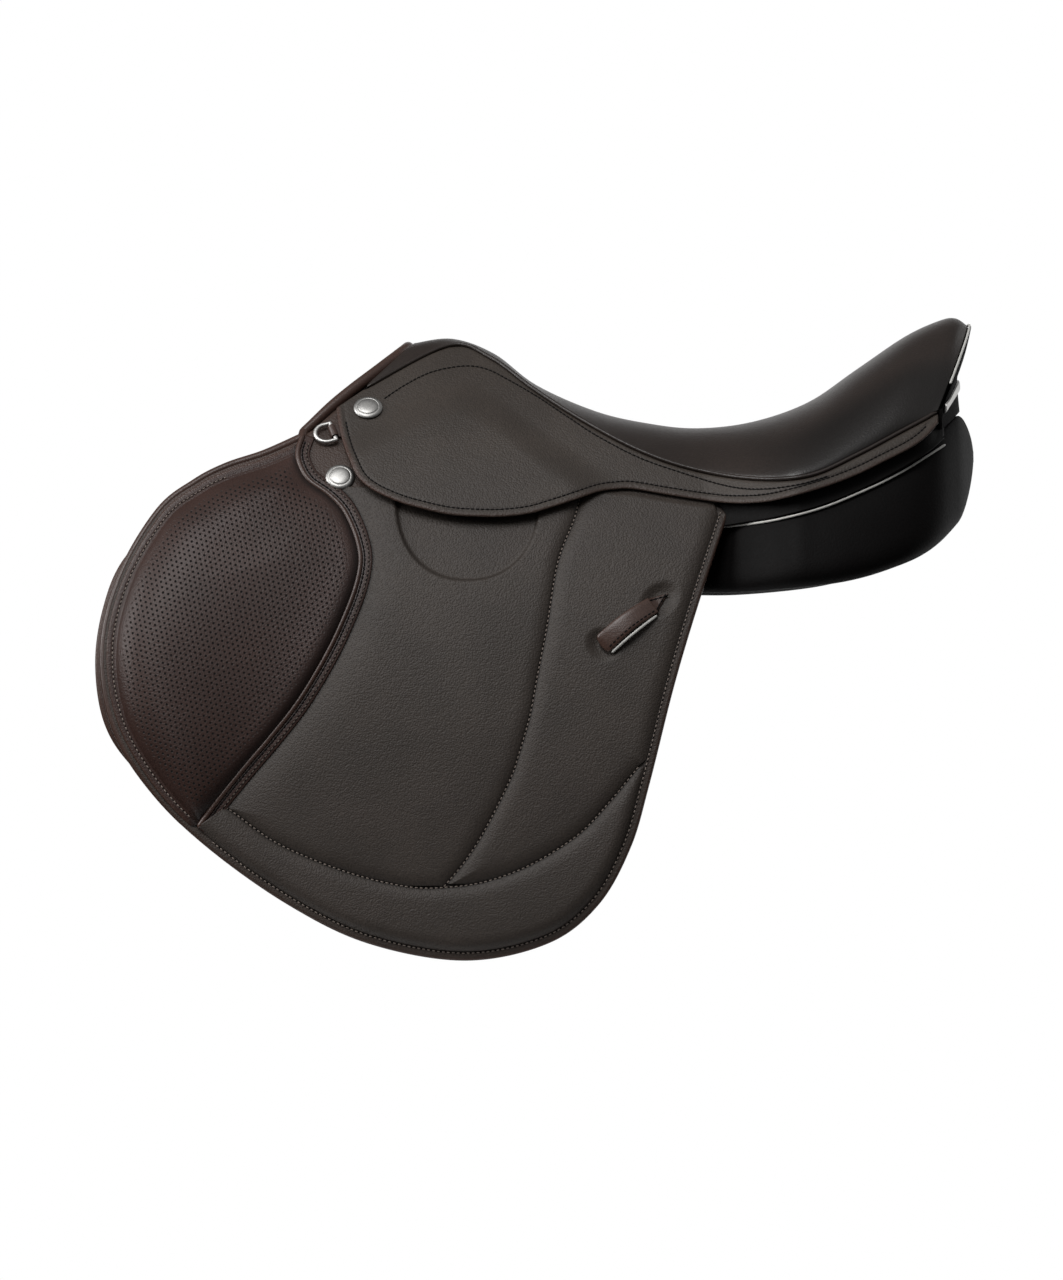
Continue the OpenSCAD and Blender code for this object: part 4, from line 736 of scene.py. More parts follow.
def roll_half(z):
    """Half breadth of the roll: along the seat's front edge, then drawn into the flap's corner."""
    edge_z = SEAT_ROWS[0, 3] - ROLL_D / 2
    edge_half = flank(SEAT_ROWS[0, 2], SEAT_ROWS[0, 3]) + SEAT_EDGE - ROLL_D / 2
    high = edge_half * np.clip((ROLL_TOP[1] - z) / (ROLL_TOP[1] - edge_z), 0, 1) ** (1 / SEAT_POWER)
    share = np.clip((z - ROLL_LOW[1]) / (edge_z - ROLL_LOW[1]), 0, 1)
    return np.where(z > edge_z, high, side(z) + lerp(-ROLL_SINK, edge_half - side(edge_z), share))


def arch(z, top, d):
    """Half breadth of an arch that follows the sides and rounds to a crown at height top."""
    start = top - ARCH_SHARE * HEAD_TOP
    return (side(z) + d) * np.sqrt(1 - np.clip((z - start) / (top - start), 0, 1) ** 2)


def recess_share(x, z):
    """One inside the pressed hollow under the skirt's lobe: an outline from a power of both places."""
    u, v = np.abs(x - RECESS_AT[0]) / RECESS_SIZE[0], np.abs(z - RECESS_AT[1]) / RECESS_SIZE[1]
    return 1 - ramp((u ** RECESS_POWER + v ** RECESS_POWER) ** (1 / RECESS_POWER), 0.97, 0.045)


def keeper_axes():
    """Directions along the keeper and across it."""
    tilt = math.radians(KEEPER_TILT)
    run = np.array([math.cos(tilt), math.sin(tilt)])
    return run, np.array([-run[1], run[0]])


def panel_relief(near, x, z, s):
    """Height of a sewn panel: a dome by the distance from its seams, with slow hollows of stuffing."""
    soft = 0.14 * np.sin(x / 17 + z / 29) * np.sin(z / 23 - x / 41)
    crown = dome(near / s["shoulder"], 0.8, 3) * lerp(0.8, 1, dome(near / (4 * s["shoulder"]), 1, 3))
    return PANEL_FOOT + s["panel_rise"] * crown + soft * smooth(near / 14)


def under_skirt(x, z, d):
    """A height cut off just below the skirt's inner face, and free again beyond the skirt's edge."""
    return np.minimum(d, skirt_in(x, z) - 0.9 + 8 * smooth((skirt_edge_z(x) - 1.5 - z) / 10))


def front_relief(x, z, s):
    """The front panel: domed from the knee band, the hem and the upright seam, with the lobe's hollow."""
    near = np.minimum(np.minimum(away(x, z, HEM), away(x, z, THIGH)), 0.45 * away(x, z, KNEE_BAND))
    return under_skirt(x, z, panel_relief(near, x, z, s) - s["recess"] * recess_share(x, z))


def rear_relief(x, z, s):
    """The rear panel: domed from its seams and the flap's border, pressed in round the keeper's ends."""
    near = np.min([away(x, z, line) for line in (THIGH, HEM, shifted(REAR, s["border"]))], 0)
    run, across = keeper_axes()
    low, high = (np.array(KEEPER_AT) + run * KEEPER_SIZE[0] * 0.5 * end for end in (-1, 1))
    dips = 0
    for end, far, wide in ((low + run * 1.5, 11, 12), (high + run * 6, 15, 11)):
        u = ((x - end[0]) * run[0] + (z - end[1]) * run[1]) / far
        v = ((x - end[0]) * across[0] + (z - end[1]) * across[1]) / wide
        dips = np.maximum(dips, 1 - ramp(np.sqrt(u ** 2 + v ** 2), 0.35, 0.8))
    return under_skirt(x, z, panel_relief(near, x, z, s) - KEEPER_DIP * dips)


def hem_relief(x, z, s):
    """The hem: a shoulder along its seam that goes on rising slowly, and a fall to the flap's border."""
    upper, lower = away(x, z, HEM), away(x, z, shifted(EDGE, s["border"]))
    shoulder = lerp(dome(upper / 12, 0.8, 3), dome(upper / 44, 1, 2), 0.55)
    return PANEL_FOOT + s["panel_rise"] * 1.5 * shoulder * dome(lower / 12, 0.7, 3)


def knee_relief(x, z, s):
    """The knee pad: a long shoulder from the flap's front, a slow fall and a steep end at the cord."""
    a, b = away(x, z, FRONT) - s["rim"] - s["border"], away(x, z, KNEE)
    groove = 0.4 * np.exp(-((a + 2.2) / 0.9) ** 2)
    top = np.clip((66 - z) / 34, 0, 1) ** 0.7
    fall = lerp(1, 0.42, ramp(a / np.maximum(a + b, 1), 0.22, 0.7))
    edge = lerp(0.4, 1.7, ramp(z, KNEE[-1, 1], 18))
    crown = dome(a / 38, 0.8, 3) * dome(b / 16, 0.62, 3)
    return edge - groove + (s["knee_rise"] - 1) * crown * fall * top


def body_blend(made, hand, kind):
    """Bake a piece's transform into its mesh; the ends of the flap's or the skirt lobe's bend line, the
    same for every piece that crosses that line, are worked out but not used.
    """
    if kind == "flap":
        start = (-0.2, -hand * float(side(11.0)) * MM, 0.011)
        end = (-0.2, -hand * float(side(-7.0)) * MM, -0.007)
        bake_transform(made)
        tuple(start)
        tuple(end)
    else:
        middle, way = np.array([-158, -hand * 104.0, 46.5]), np.array([-0.25, 0, -0.968])
        start, end = (tuple((middle + far * way) * MM) for far in (-6, 10))
        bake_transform(made)
        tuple(start)
        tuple(end)


class SaddleSizes(bpy.types.PropertyGroup):
    """Sizes of the soft pieces and their thread."""

    knee_rise: bpy.props.FloatProperty(
        name="Knee rise", description="Height of the knee pad", default=0.0145, unit="LENGTH")
    rim: bpy.props.FloatProperty(
        name="Rim", description="Bare edge of the flap outside the knee pad", default=0.004,
        unit="LENGTH")
    panel_rise: bpy.props.FloatProperty(
        name="Panel rise", description="Height of the sewn panels", default=0.0038, unit="LENGTH")
    shoulder: bpy.props.FloatProperty(
        name="Shoulder", description="Width over which a panel rises from its seam", default=0.014,
        unit="LENGTH")
    border: bpy.props.FloatProperty(
        name="Border", description="Flat border along the flap's edge", default=0.0066, unit="LENGTH")
    recess: bpy.props.FloatProperty(
        name="Recess", description="Depth of the hollow under the skirt", default=0.0027, unit="LENGTH")
    stitch_pitch: bpy.props.FloatProperty(
        name="Stitch pitch", description="Distance between stitches", default=0.0034, unit="LENGTH")
    stitch_length: bpy.props.FloatProperty(
        name="Stitch length", description="Length of a stitch", default=0.0024, unit="LENGTH")
    thread: bpy.props.FloatProperty(
        name="Thread", description="Thickness of the thread", default=0.0011, unit="LENGTH")
    grain: bpy.props.FloatProperty(
        name="Grain", description="Size of the leather's pebbles", default=0.0011, unit="LENGTH")


class SaddleColours(bpy.types.PropertyGroup):
    """Colours of the leathers, thread, trim, tree and metal."""

    skirt: bpy.props.FloatVectorProperty(
        name="Skirt", description="Skirt leather", subtype="COLOR", default=(0.047, 0.0375, 0.031))
    flap: bpy.props.FloatVectorProperty(
        name="Flap", description="Flap leather", subtype="COLOR", default=(0.047, 0.0375, 0.0315))
    seat: bpy.props.FloatVectorProperty(
        name="Seat", description="Seat leather", subtype="COLOR", default=(0.024, 0.017, 0.014))
    knee: bpy.props.FloatVectorProperty(
        name="Knee", description="Knee pad leather", subtype="COLOR", default=(0.043, 0.0225, 0.018))
    roll: bpy.props.FloatVectorProperty(
        name="Roll", description="Roll and burnished edges", subtype="COLOR",
        default=(0.06, 0.032, 0.024))
    panel: bpy.props.FloatVectorProperty(
        name="Panel", description="Panel leather", subtype="COLOR", default=(0.0045, 0.004, 0.004))
    thread: bpy.props.FloatVectorProperty(
        name="Thread", description="Pale thread", subtype="COLOR", default=(0.21, 0.17, 0.145))
    piping: bpy.props.FloatVectorProperty(
        name="Piping", description="Pale piping", subtype="COLOR", default=(0.6, 0.59, 0.56))
    steel: bpy.props.FloatVectorProperty(
        name="Steel", description="Bright metal", subtype="COLOR", default=(0.62, 0.61, 0.59))
    web: bpy.props.FloatVectorProperty(
        name="Web", description="Seat and girth webs", subtype="COLOR", default=(0.42, 0.36, 0.25))
    wood: bpy.props.FloatVectorProperty(
        name="Wood", description="Wood of the tree", subtype="COLOR", default=(0.42, 0.26, 0.13))


class SaddleOperator:
    """What every step of the build shares: its place in the interface and its sizes."""

    bl_options = {"REGISTER", "UNDO"}

    def sizes(self, context):
        """Sizes in millimetres by name."""
        group = context.scene.saddle_sizes
        return {key: getattr(group, key) / MM for key in SaddleSizes.__annotations__}

    def finish_of(self, name):
        material = bpy.data.materials.get(name)
        if material is None:
            raise RuntimeError(f"the finish {name} is missing; make the finishes first")
        return material

    def sewn(self, label, place, thread, s, hand, kind, slot):
        """A row of stitches over a near-black cord, painted as the shade in their channel; the pieces are
        baked in place for the flap or the lobe, or carried by a body.
        """
        half = DARK_BEAD if thread == "dark thread" else PALE_BEAD
        size = np.array([s["stitch_length"], s["thread"], s["thread"]]) * half
        out = side_normals(place[:, 2])
        low = place - out * s["thread"] * CHANNEL_SINK
        # Painted shade: the channel's shade is a near-black cord sunk under the stitches.
        made = [cord_object(label + "_channel", low, s["thread"] * 0.5, 0.004,
                            self.finish_of("seam shade"), hand, 6, (0, -1, 0.2)),
                stitches(label + "_stitches", place, out, self.finish_of(thread), s["stitch_pitch"],
                         size, hand)]
        for piece in made:
            if kind in ("flap", "lobe"):
                body_blend(piece, hand, kind)
            else:
                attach(piece, kind)


class SADDLE_OT_finishes(SaddleOperator, bpy.types.Operator):
    """Make the procedural finishes"""

    bl_idname = "saddle.finishes"
    bl_label = "Finishes"

    def execute(self, context):
        c = context.scene.saddle_colours
        grain = context.scene.saddle_sizes.grain
        for name, (colour, rough, coat, relief, edge, shine) in LEATHERS.items():
            leather(name, getattr(c, colour), rough, coat, relief, grain, getattr(c, edge), shine,
                    colour == "knee")
        for name, (colour, share, rough, metal, relief, scale, shine) in PLAIN_FINISHES.items():
            plain(name, rgba(getattr(c, colour), share), rough, metal, relief, scale, shine)
        wood("wood", c.wood, 0.5)
        return {"FINISHED"}


class SADDLE_OT_seat(SaddleOperator, bpy.types.Operator):
    """Make the padded seat with the welt along its edge"""

    bl_idname = "saddle.seat"
    bl_label = "Seat"

    def execute(self, context):
        finish = self.finish_of("seat leather")
        t = np.linspace(0, 1, len(SEAT_ROWS))[:, None]
        u = np.sin(np.linspace(-0.5, 0.5, SEAT_COLUMNS) * np.pi)[None]
        foam = lerp(*FOAM_DEPTHS, smooth(3 * t)) * lerp(1, 0.35, np.abs(u) ** 4)
        foam = foam * (1 - ramp(t, 0.82, 0.12))
        rings = shell_rings(seat_point(SEAT_ROWS, u, 0.0),
                            seat_point(SEAT_ROWS, u * 0.995, SEAT_LEATHER + foam))
        # Painted shade: the seat's lower side on the cantle's half, where it turns under, is painted
        # darker.
        shade = 0.9 * ramp(np.abs(u), 0.62, 0.22) * ramp(t, 0.5, 0.16)
        seat = ring_object("seat", rings, finish, {"crease": np.concatenate([shade, shade], 1)})
        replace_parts(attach(seat, ROOT), "seat_cover", "seat_foam")
        line = evenly(SEAT_LINE - [0, WELT_GAP * 0.45], CORD_POINTS)
        path = on_flank(*line.T, SEAT_EDGE - 0.6)
        for name, hand in HANDS:
            welt = cord_object("seat_welt_" + name, path, WELT_RADIUS, 0.02, finish, hand)
            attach(welt, ROOT)
        return {"FINISHED"}


class SADDLE_OT_cantle(SaddleOperator, bpy.types.Operator):
    """Make the back of the cantle, its piping and its plate"""

    bl_idname = "saddle.cantle"
    bl_label = "Cantle"

    def execute(self, context):
        u = np.sin(np.linspace(-0.5, 0.5, BACK_COLUMNS) * np.pi)[None]
        drop = lerp(BACK_SHARES[0, 1], 1, np.linspace(0, 1, BACK_ROWS))[:, None]
        rings = shell_rings(back_point(drop, u, 0.0), back_point(drop, u, -SEAT_LEATHER))
        back = ring_object("cantle_back_cover", rings, self.finish_of("back leather"))
        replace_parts(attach(back, ROOT), "cantle_back")
        path = seat_point(SEAT_ROWS[-1:], u * 0.86, -0.3)[0] + [1.8, 0, 0]
        piping = cord_object("cantle_piping", path, PIPING_RADIUS["cantle"], 0.01,
                             self.finish_of("pale piping"), sides=10)
        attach(piping, ROOT)
        drop = np.linspace(0, 1, PLATE_ROWS)[:, None]
        wide = u * 0.965
        w = np.abs(wide) ** SEAT_POWER
        fall = lerp(*PLATE_DROPS, w) + drop * PLATE_HEIGHT * lerp(1, 0.95, w)
        share = fall / (BACK_HEIGHT * lerp(1, BACK_END_SHARE, w))
        bulge = 1.0 + 0.9 * (1 - (2 * drop - 1) ** 4)
        rings = shell_rings(back_point(share, wide, bulge), back_point(share, wide, 0.4))
        plate = ring_object("cantle_plate_face", rings, self.finish_of("brushed steel"))
        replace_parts(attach(plate, ROOT), "cantle_plate")
        return {"FINISHED"}


class SADDLE_OT_skirts(SaddleOperator, bpy.types.Operator):
    """Make the skirts with their stitched edges"""

    bl_idname = "saddle.skirts"
    bl_label = "Skirts"

    def execute(self, context):
        s = self.sizes(context)
        low, top = evenly(SKIRT_EDGE, EDGE_POINTS), evenly(SKIRT_TOP, EDGE_POINTS)
        low[0], top[0] = low[0] + [0.4, -0.6], top[0] + [0.4, 0]

        def outer(x, z):
            near = away(x, z, SKIRT_EDGE)
            groove = 0.5 * np.exp(-((near - SKIRT_SEAM) / 1.2) ** 2)
            return skirt_in(x, z) + SKIRT_LEATHER - groove - 0.9 * (1 - dome(near / 3.5))

        x, z, d = strip(top, low, skirt_in, outer, SKIRT_COLUMNS, 0.3)
        worn = (1 - ramp(away(x, z, SKIRT_EDGE), 0.8, 3.2)) * lerp(1, 0.45, ramp(x, -250, 90))
        seams = {"edge": shifted(evenly(SKIRT_EDGE, SEAM_POINTS, 0.02, 0.985), SKIRT_SEAM),
                 "upper": evenly(curve(UPPER_STITCHES), SEAM_POINTS)}
        for name, hand in HANDS:
            skirt = ring_object("skirt_leather_" + name, on_flank(x, z, d),
                                self.finish_of("skirt leather"), {"edge": worn},
                                np.stack([x, z], -1), hand)
            body_blend(skirt, hand, "lobe")
            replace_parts(skirt, "skirt_" + name, "skirt_lobe_" + name)
            for label, line in seams.items():
                place = on_flank(*line.T, outer(*line.T) + 0.1)
                self.sewn(f"skirt_{label}_{name}", place, "dark thread", s, hand, "lobe", "skirt_leather")
        return {"FINISHED"}


class SADDLE_OT_flaps(SaddleOperator, bpy.types.Operator):
    """Make the flaps' base leather up under the skirts, and the turned roll of their front edges"""

    bl_idname = "saddle.flaps"
    bl_label = "Flaps"

    def execute(self, context):
        head = ROLL_LINE[ROLL_LINE[:, 1] < 96] + [5, 0]
        outline = np.vstack([EDGE, evenly(FLAP_TOP, 120)[1:], head[::-1][1:-1]])
        outline = evenly(np.vstack([outline, outline[:1]]), FLAP_POINTS)[:-1]
        x, z, d = sheet(outline, FLAP_CENTRE, level(-FLAP_LEATHER), level(0), FLAP_RINGS)
        near = away(x, z, EDGE)
        worn = lerp(0.15, 0.9, 1 - ramp(near, 0.8, 1.6)) * (1 - ramp(near, 5, 3))
        worn = np.clip(worn + ramp(z, 8, 14) * (1 - ramp(x, -240, 30)) * 0.5, 0, 1)
        rise = ROLL_LINE[(ROLL_LINE[:, 1] < 84) & (ROLL_LINE[:, 1] > 71)]
        rise = rise[np.argsort(-rise[:, 1])]
        line = np.vstack([rise, FRONT + [1.4, -0.8]])
        sunk = np.concatenate([roll_half(rise[:, 1]) - side(rise[:, 1]),
                               np.full(len(FRONT), FRONT_ROLL_DEPTH)])
        path = evenly(on_side(*line.T, sunk), CORD_POINTS, 0.0, FRONT_ROLL_END)
        share = np.linspace(0, 1, len(path))
        radius = lerp(*FRONT_ROLL_RADII, smooth(share * 2)) * round_ends(len(path), 1.0, 0.012)
        rings = sweep(path, radius * lerp(0.2, 1, smooth((1 - share) * 5)), 14, OUTWARD)
        for name, hand in HANDS:
            flap = ring_object("flap_leather_" + name, on_side(x, z, d), self.finish_of("flap leather"),
                               {"edge": worn}, np.stack([x, z], -1), hand)
            body_blend(flap, hand, "flap")
            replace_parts(flap, "flap_" + name, "flap_head_" + name)
            roll = ring_object("flap_front_roll_" + name, rings, self.finish_of("roll leather"),
                               hand=hand)
            body_blend(roll, hand, "flap")
        return {"FINISHED"}


class SADDLE_OT_knee_pads(SaddleOperator, bpy.types.Operator):
    """Make the padded knee supports with their cord and stitched band"""

    bl_idname = "saddle.knee_pads"
    bl_label = "Knee pads"

    def execute(self, context):
        s = self.sizes(context)
        foot = KNEE[-1, 1]
        cord = evenly(KNEE, EDGE_POINTS)

        def face(x, z):
            return knee_relief(x, z, s)

        def crown(x, z):
            return 1.5 + 0.5 * np.sin(np.clip((away(x, z, KNEE) - 1) / (BAND_SPAN[1] - 1), 0, 1) * np.pi)

        rows = lerp(foot + 1, KNEE_TOP, np.linspace(0, 1, PAD_ROWS) ** 0.9)
        left, right = between(shifted(FRONT, s["rim"]), shifted(KNEE, -1.0), rows)
        x, z, d = strip(left, right, level(SEWN_BASE), face, PAD_COLUMNS, 0.45)
        a, b = away(x, z, FRONT) - s["rim"], away(x, z, KNEE)
        # Painted shadow: the fold along the cord is painted near black, in a band that widens towards the
        # foot.
        marks = {"crease": (1 - ramp(b, 1, lerp(5, 13, ramp(z, 20, -90)))) * 0.95,
                 "edge": (1 - ramp(a, 0.4, 1.8)) * 0.9,
                 "punched": ramp(a - s["border"], 3, 6) * ramp(b, 6, 6) * ramp(z, 56, -8)}
        left, right = (shifted(cord, far) for far in BAND_SPAN)
        bx, bz, bd = strip(left, right, level(SEWN_BASE), crown, BAND_COLUMNS)
        border = shifted(evenly(FRONT, 500, 0.1, 0.62), s["rim"] + s["border"] - 2.4)
        rows = [("band_inner", shifted(cord, BAND_SEAMS[0])[4:-4], crown, "dark thread"),
                ("band_outer", shifted(cord, BAND_SEAMS[1])[4:-4], crown, "brown thread"),
                ("border", border[border[:, 1] > foot + 6], face, "pale thread")]
        for name, hand in HANDS:
            pad = ring_object("knee_pad_cover_" + name, on_side(x, z, d), self.finish_of("knee leather"),
                              marks, np.stack([x, z], -1), hand)
            body_blend(pad, hand, "flap")
            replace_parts(pad, "knee_pad_" + name)
            made = cord_object("knee_cord_" + name, on_side(*cord.T, CORD_DEPTH), CORD_RADIUS, 0.01,
                               self.finish_of("roll leather"), hand, up=OUTWARD)
            body_blend(made, hand, "flap")
            band = ring_object("knee_band_" + name, on_side(bx, bz, bd), self.finish_of("knee leather"),
                               flat=np.stack([bx, bz], -1), hand=hand)
            body_blend(band, hand, "flap")
            for label, line, height, thread in rows:
                place = on_side(*line.T, height(*line.T) + 0.2)
                self.sewn(f"knee_{label}_{name}", place, thread, s, hand, "flap", "flap_leather")
        return {"FINISHED"}


class SADDLE_OT_panels_sewn(SaddleOperator, bpy.types.Operator):
    """Make the sewn panels and the hem of the flaps with their stitching"""

    bl_idname = "saddle.panels_sewn"
    bl_label = "Sewn panels"

    def execute(self, context):
        s = self.sizes(context)
        base, finish = level(SEWN_BASE), self.finish_of("flap leather")
        border = shifted(EDGE, s["border"])
        fall, climb = HEM[HEM[:, 0] <= HEM[np.argmin(HEM[:, 1]), 0]], HEM[HEM[:, 0] >= THIGH[-1, 0]]
        band = KNEE_BAND[KNEE_BAND[:, 1] > fall[0, 1] + 4]
        z = lerp(THIGH[-1, 1] + 1.2, SEWN_TOP, np.linspace(0, 1, SEWN_ROWS) ** 1.25)
        left, right = between(np.vstack([band, shifted(fall, SEAM_HALF)]), shifted(THIGH, -SEAM_HALF), z)
        pieces = {"front": strip(left, right, base, lambda x, z: front_relief(x, z, s), PAD_COLUMNS, 0.5)}
        edge = border[(border[:, 0] > -120) & (border[:, 1] > climb[-1, 1] + 1) & (border[:, 1] < 13)]
        z = lerp(THIGH[-1, 1] + 2.5, SEWN_TOP, np.linspace(0, 1, SEWN_ROWS) ** 1.15)
        left, right = between(shifted(THIGH, SEAM_HALF),
                              np.vstack([shifted(climb, SEAM_HALF), edge, REAR_CORNER]), z)
        pieces["rear"] = strip(left, right, base, lambda x, z: rear_relief(x, z, s), PAD_COLUMNS, 0.5)
        first = np.argmin(np.abs(border[:, 1] - (HEM[0, 1] - 13)) + 1e3 * (border[:, 0] > -250))
        last = np.argmin(np.abs(border[:, 1] - HEM[-1, 1]) + 1e3 * (border[:, 0] < -100))
        left = evenly(shifted(HEM, -SEAM_HALF), SEAM_POINTS)
        right = evenly(border[first:last + 1], SEAM_POINTS)
        hx, hz, hd = strip(left, right, base, lambda x, z: hem_relief(x, z, s), HEM_COLUMNS, 0.4)
        foot = shifted(EDGE, s["border"] - 1.2)
        foot = foot[(foot[:, 1] < 18) & ((foot[:, 0] > -330) | (foot[:, 1] < -210))]
        rows = [("thigh", THIGH[THIGH[:, 1] < 30], SEAM_LIFT), ("hem", HEM, SEAM_LIFT),
                ("border", foot, BORDER_LIFT)]
        for name, hand in HANDS:
            for label, (x, z, d) in pieces.items():
                near = np.min([away(x, z, line) for line in (THIGH, HEM, KNEE_BAND)], 0)
                # Painted shade: the tone is darker along the seams and round the rim of the pressed
                # hollow.
                inside = recess_share(x, z)
                rim = 1.8 * inside * (1 - inside)
                marks = {"crease": np.maximum((1 - smooth(near / 2.2)) * 0.75, rim)}
                made = ring_object(f"thigh_{label}_cover_{name}", on_side(x, z, d), finish, marks,
                                   np.stack([x, z], -1), hand)
                body_blend(made, hand, "flap")
                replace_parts(made, f"thigh_panel_{label}_{name}")
            # Painted shade: darker tone along the hem's seam.
            marks = {"crease": (1 - smooth(away(hx, hz, HEM) / 2.2)) * 0.75}
            made = ring_object("hem_cover_" + name, on_side(hx, hz, hd), finish, marks,
                               np.stack([hx, hz], -1), hand)
            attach(made, "flap_" + name)
            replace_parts(made, "hem_panel_" + name)
            for label, line, height in rows:
                place = on_side(*line.T, height)
                self.sewn(f"flap_{label}_{name}", place, "pale thread", s, hand, "flap", "flap_leather")
        return {"FINISHED"}


class SADDLE_OT_keepers(SaddleOperator, bpy.types.Operator):
    """Make the arched keeper straps on the rear panels"""

    bl_idname = "saddle.keepers"
    bl_label = "Keepers"

    def execute(self, context):
        s = self.sizes(context)
        long, broad = KEEPER_SIZE
        run, across = keeper_axes()
        t = np.linspace(0, 1, KEEPER_ROWS)
        lift = KEEPER_BASE + (KEEPER_RISE * np.sin(np.pi * lerp(0.06, 0.94, t)) ** 0.8 - 1.2)
        sway = np.sin(np.pi * t)
        middle = np.array(KEEPER_AT) + run * long * (t - 0.5)[:, None]
        middle = middle + across * KEEPER_SWAY * sway[:, None]
        tongue = np.sqrt(np.clip(1 - (1 - np.clip(t / 0.1, 0, 1)) ** 4, 0.01, 1))
        wide = broad / 2 * tongue * lerp(1, 0.86, t)
        w = np.linspace(0, 2 * np.pi, KEEPER_SIDES, endpoint=False)
        v, h = (np.sign(f) * np.abs(f) ** power for f, power in ((np.cos(w), 0.55), (np.sin(w), 0.75)))
        x, z = (middle[:, k:k + 1] + across[k] * wide[:, None] * v for k in (0, 1))
        d = lift[:, None] + KEEPER_THICKNESS * h * np.sqrt(np.clip(t / 0.08, 0.05, 1))[:, None]
        u = np.linspace(*TIP_RUN, TIP_ROWS)
        tip = middle[-1] + run * u[:, None]
        half = TIP_HALF * np.clip((13.4 - u) / 15.4, 0, 1)[:, None]

        def tip_base(x, z):
            return rear_relief(x, z, s) - 0.4

        def tip_face(x, z):
            far = (x - middle[-1, 0]) * run[0] + (z - middle[-1, 1]) * run[1]
            return rear_relief(x, z, s) + 1.3 + 2.4 * (1 - ramp(far, -2, 6))

        tx, tz, td = strip(tip + across * half, tip - across * half, tip_base, tip_face, TIP_COLUMNS)
        seam = (middle - across * (wide * 0.62)[:, None])[7:-3]
        inset = across * (half[4:-4] - 1.4)
        tip_seam = np.vstack([tip[4:-4] + inset, (tip[4:-4] - inset)[::-1]])
        # Painted highlight: a pale cord in the gap under the strap's lower edge stands for the bright
        # line along that edge.
        rim = middle - across * (wide + 1.1 + 0.9 * sway)[:, None]
        finish = self.finish_of("roll leather")
        for name, hand in HANDS:
            body = "flap_" + name
            strap = ring_object("keeper_strap_" + name, on_side(x, z, d), finish, hand=hand)
            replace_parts(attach(strap, body), "keeper_" + name)
            made = ring_object("keeper_tip_" + name, on_side(tx, tz, td), finish, hand=hand)
            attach(made, body)
            rows = (("keeper_", on_side(*seam.T, lift[7:-3] + 1.4)),
                    ("keeper_tip_", on_side(*tip_seam.T, tip_face(*tip_seam.T) + 0.15)))
            for label, place in rows:
                self.sewn(label + name, place, "dark thread", s, hand, body, "roll_leather")
            edge = cord_object("keeper_edge_" + name, on_side(*rim.T, lift - 0.8)[5:-4],
                               PIPING_RADIUS["keeper"], 0.04, self.finish_of("pale piping"),
                               hand, 8, OUTWARD)
            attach(edge, body)
        return {"FINISHED"}


class SADDLE_OT_pommel(SaddleOperator, bpy.types.Operator):
    """Make the roll over the pommel and the lining of the gullet"""

    bl_idname = "saddle.pommel"
    bl_label = "Pommel"

    def execute(self, context):
        z = lerp(ROLL_LOW[1], ROLL_TOP[1], 1 - np.linspace(1, 0, 200) ** 3)
        path = evenly(mirrored(np.stack([x_at(ROLL_LINE, z), -roll_half(z), z], 1)), ROLL_POINTS)
        k = np.arange(len(path))
        near_end = np.minimum(k, k[::-1]) / len(path)
        radius = round_ends(len(path), ROLL_D / 2, 0.012) + ROLL_SWELL * smooth(near_end / 0.14)
        roll = ring_object("pommel_roll_cover", sweep(path, radius, 20, (1, 0, 0)),
                           self.finish_of("roll leather"))
        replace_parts(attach(roll, ROOT), "pommel_roll")
        head_top = HEAD_TOP - HEAD_DEPTH - STEEL_DEPTH - 3 * LAYER_GAP
        head_in = TREE_DEPTH - HEAD_DEPTH - STEEL_DEPTH - 5 * LAYER_GAP
        down = np.linspace(1, 0, LINING_ROWS) ** 1.5

        def lining(deep):
            """One line from side to side under the roll, and two under the head's front and rear."""
            z = lerp(ROLL_TOP[1] - ROLL_D - deep, LINING_LOW, down)
            y = np.maximum(roll_half(np.minimum(z + deep + ROLL_D, ROLL_TOP[1])) - ROLL_D - deep, 0)
            rows = [np.stack([np.interp(z, ROLL_LINE[:, 1], ROLL_LINE[:, 0]) + ROLL_D / 3, -y, z], 1)]
            z = lerp(head_top - deep, LINING_LOW, down)
            y = arch(z, head_top - deep, head_in - deep)
            for back in (-ROLL_D / 4, HEAD_LENGTH):
                x = SEAT_FRONT + 2 * LAYER_GAP - HEAD_LEAN * (HEAD_TOP - z) + back
                rows.append(np.stack([x, -y, z], 1))
            return np.stack([mirrored(row) for row in rows], 1)

        rings = shell_rings(lining(0), lining(LINING_LEATHER))
        made = ring_object("gullet_lining_cover", rings, self.finish_of("panel leather"))
        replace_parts(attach(made, ROOT), "gullet_lining")
        return {"FINISHED"}


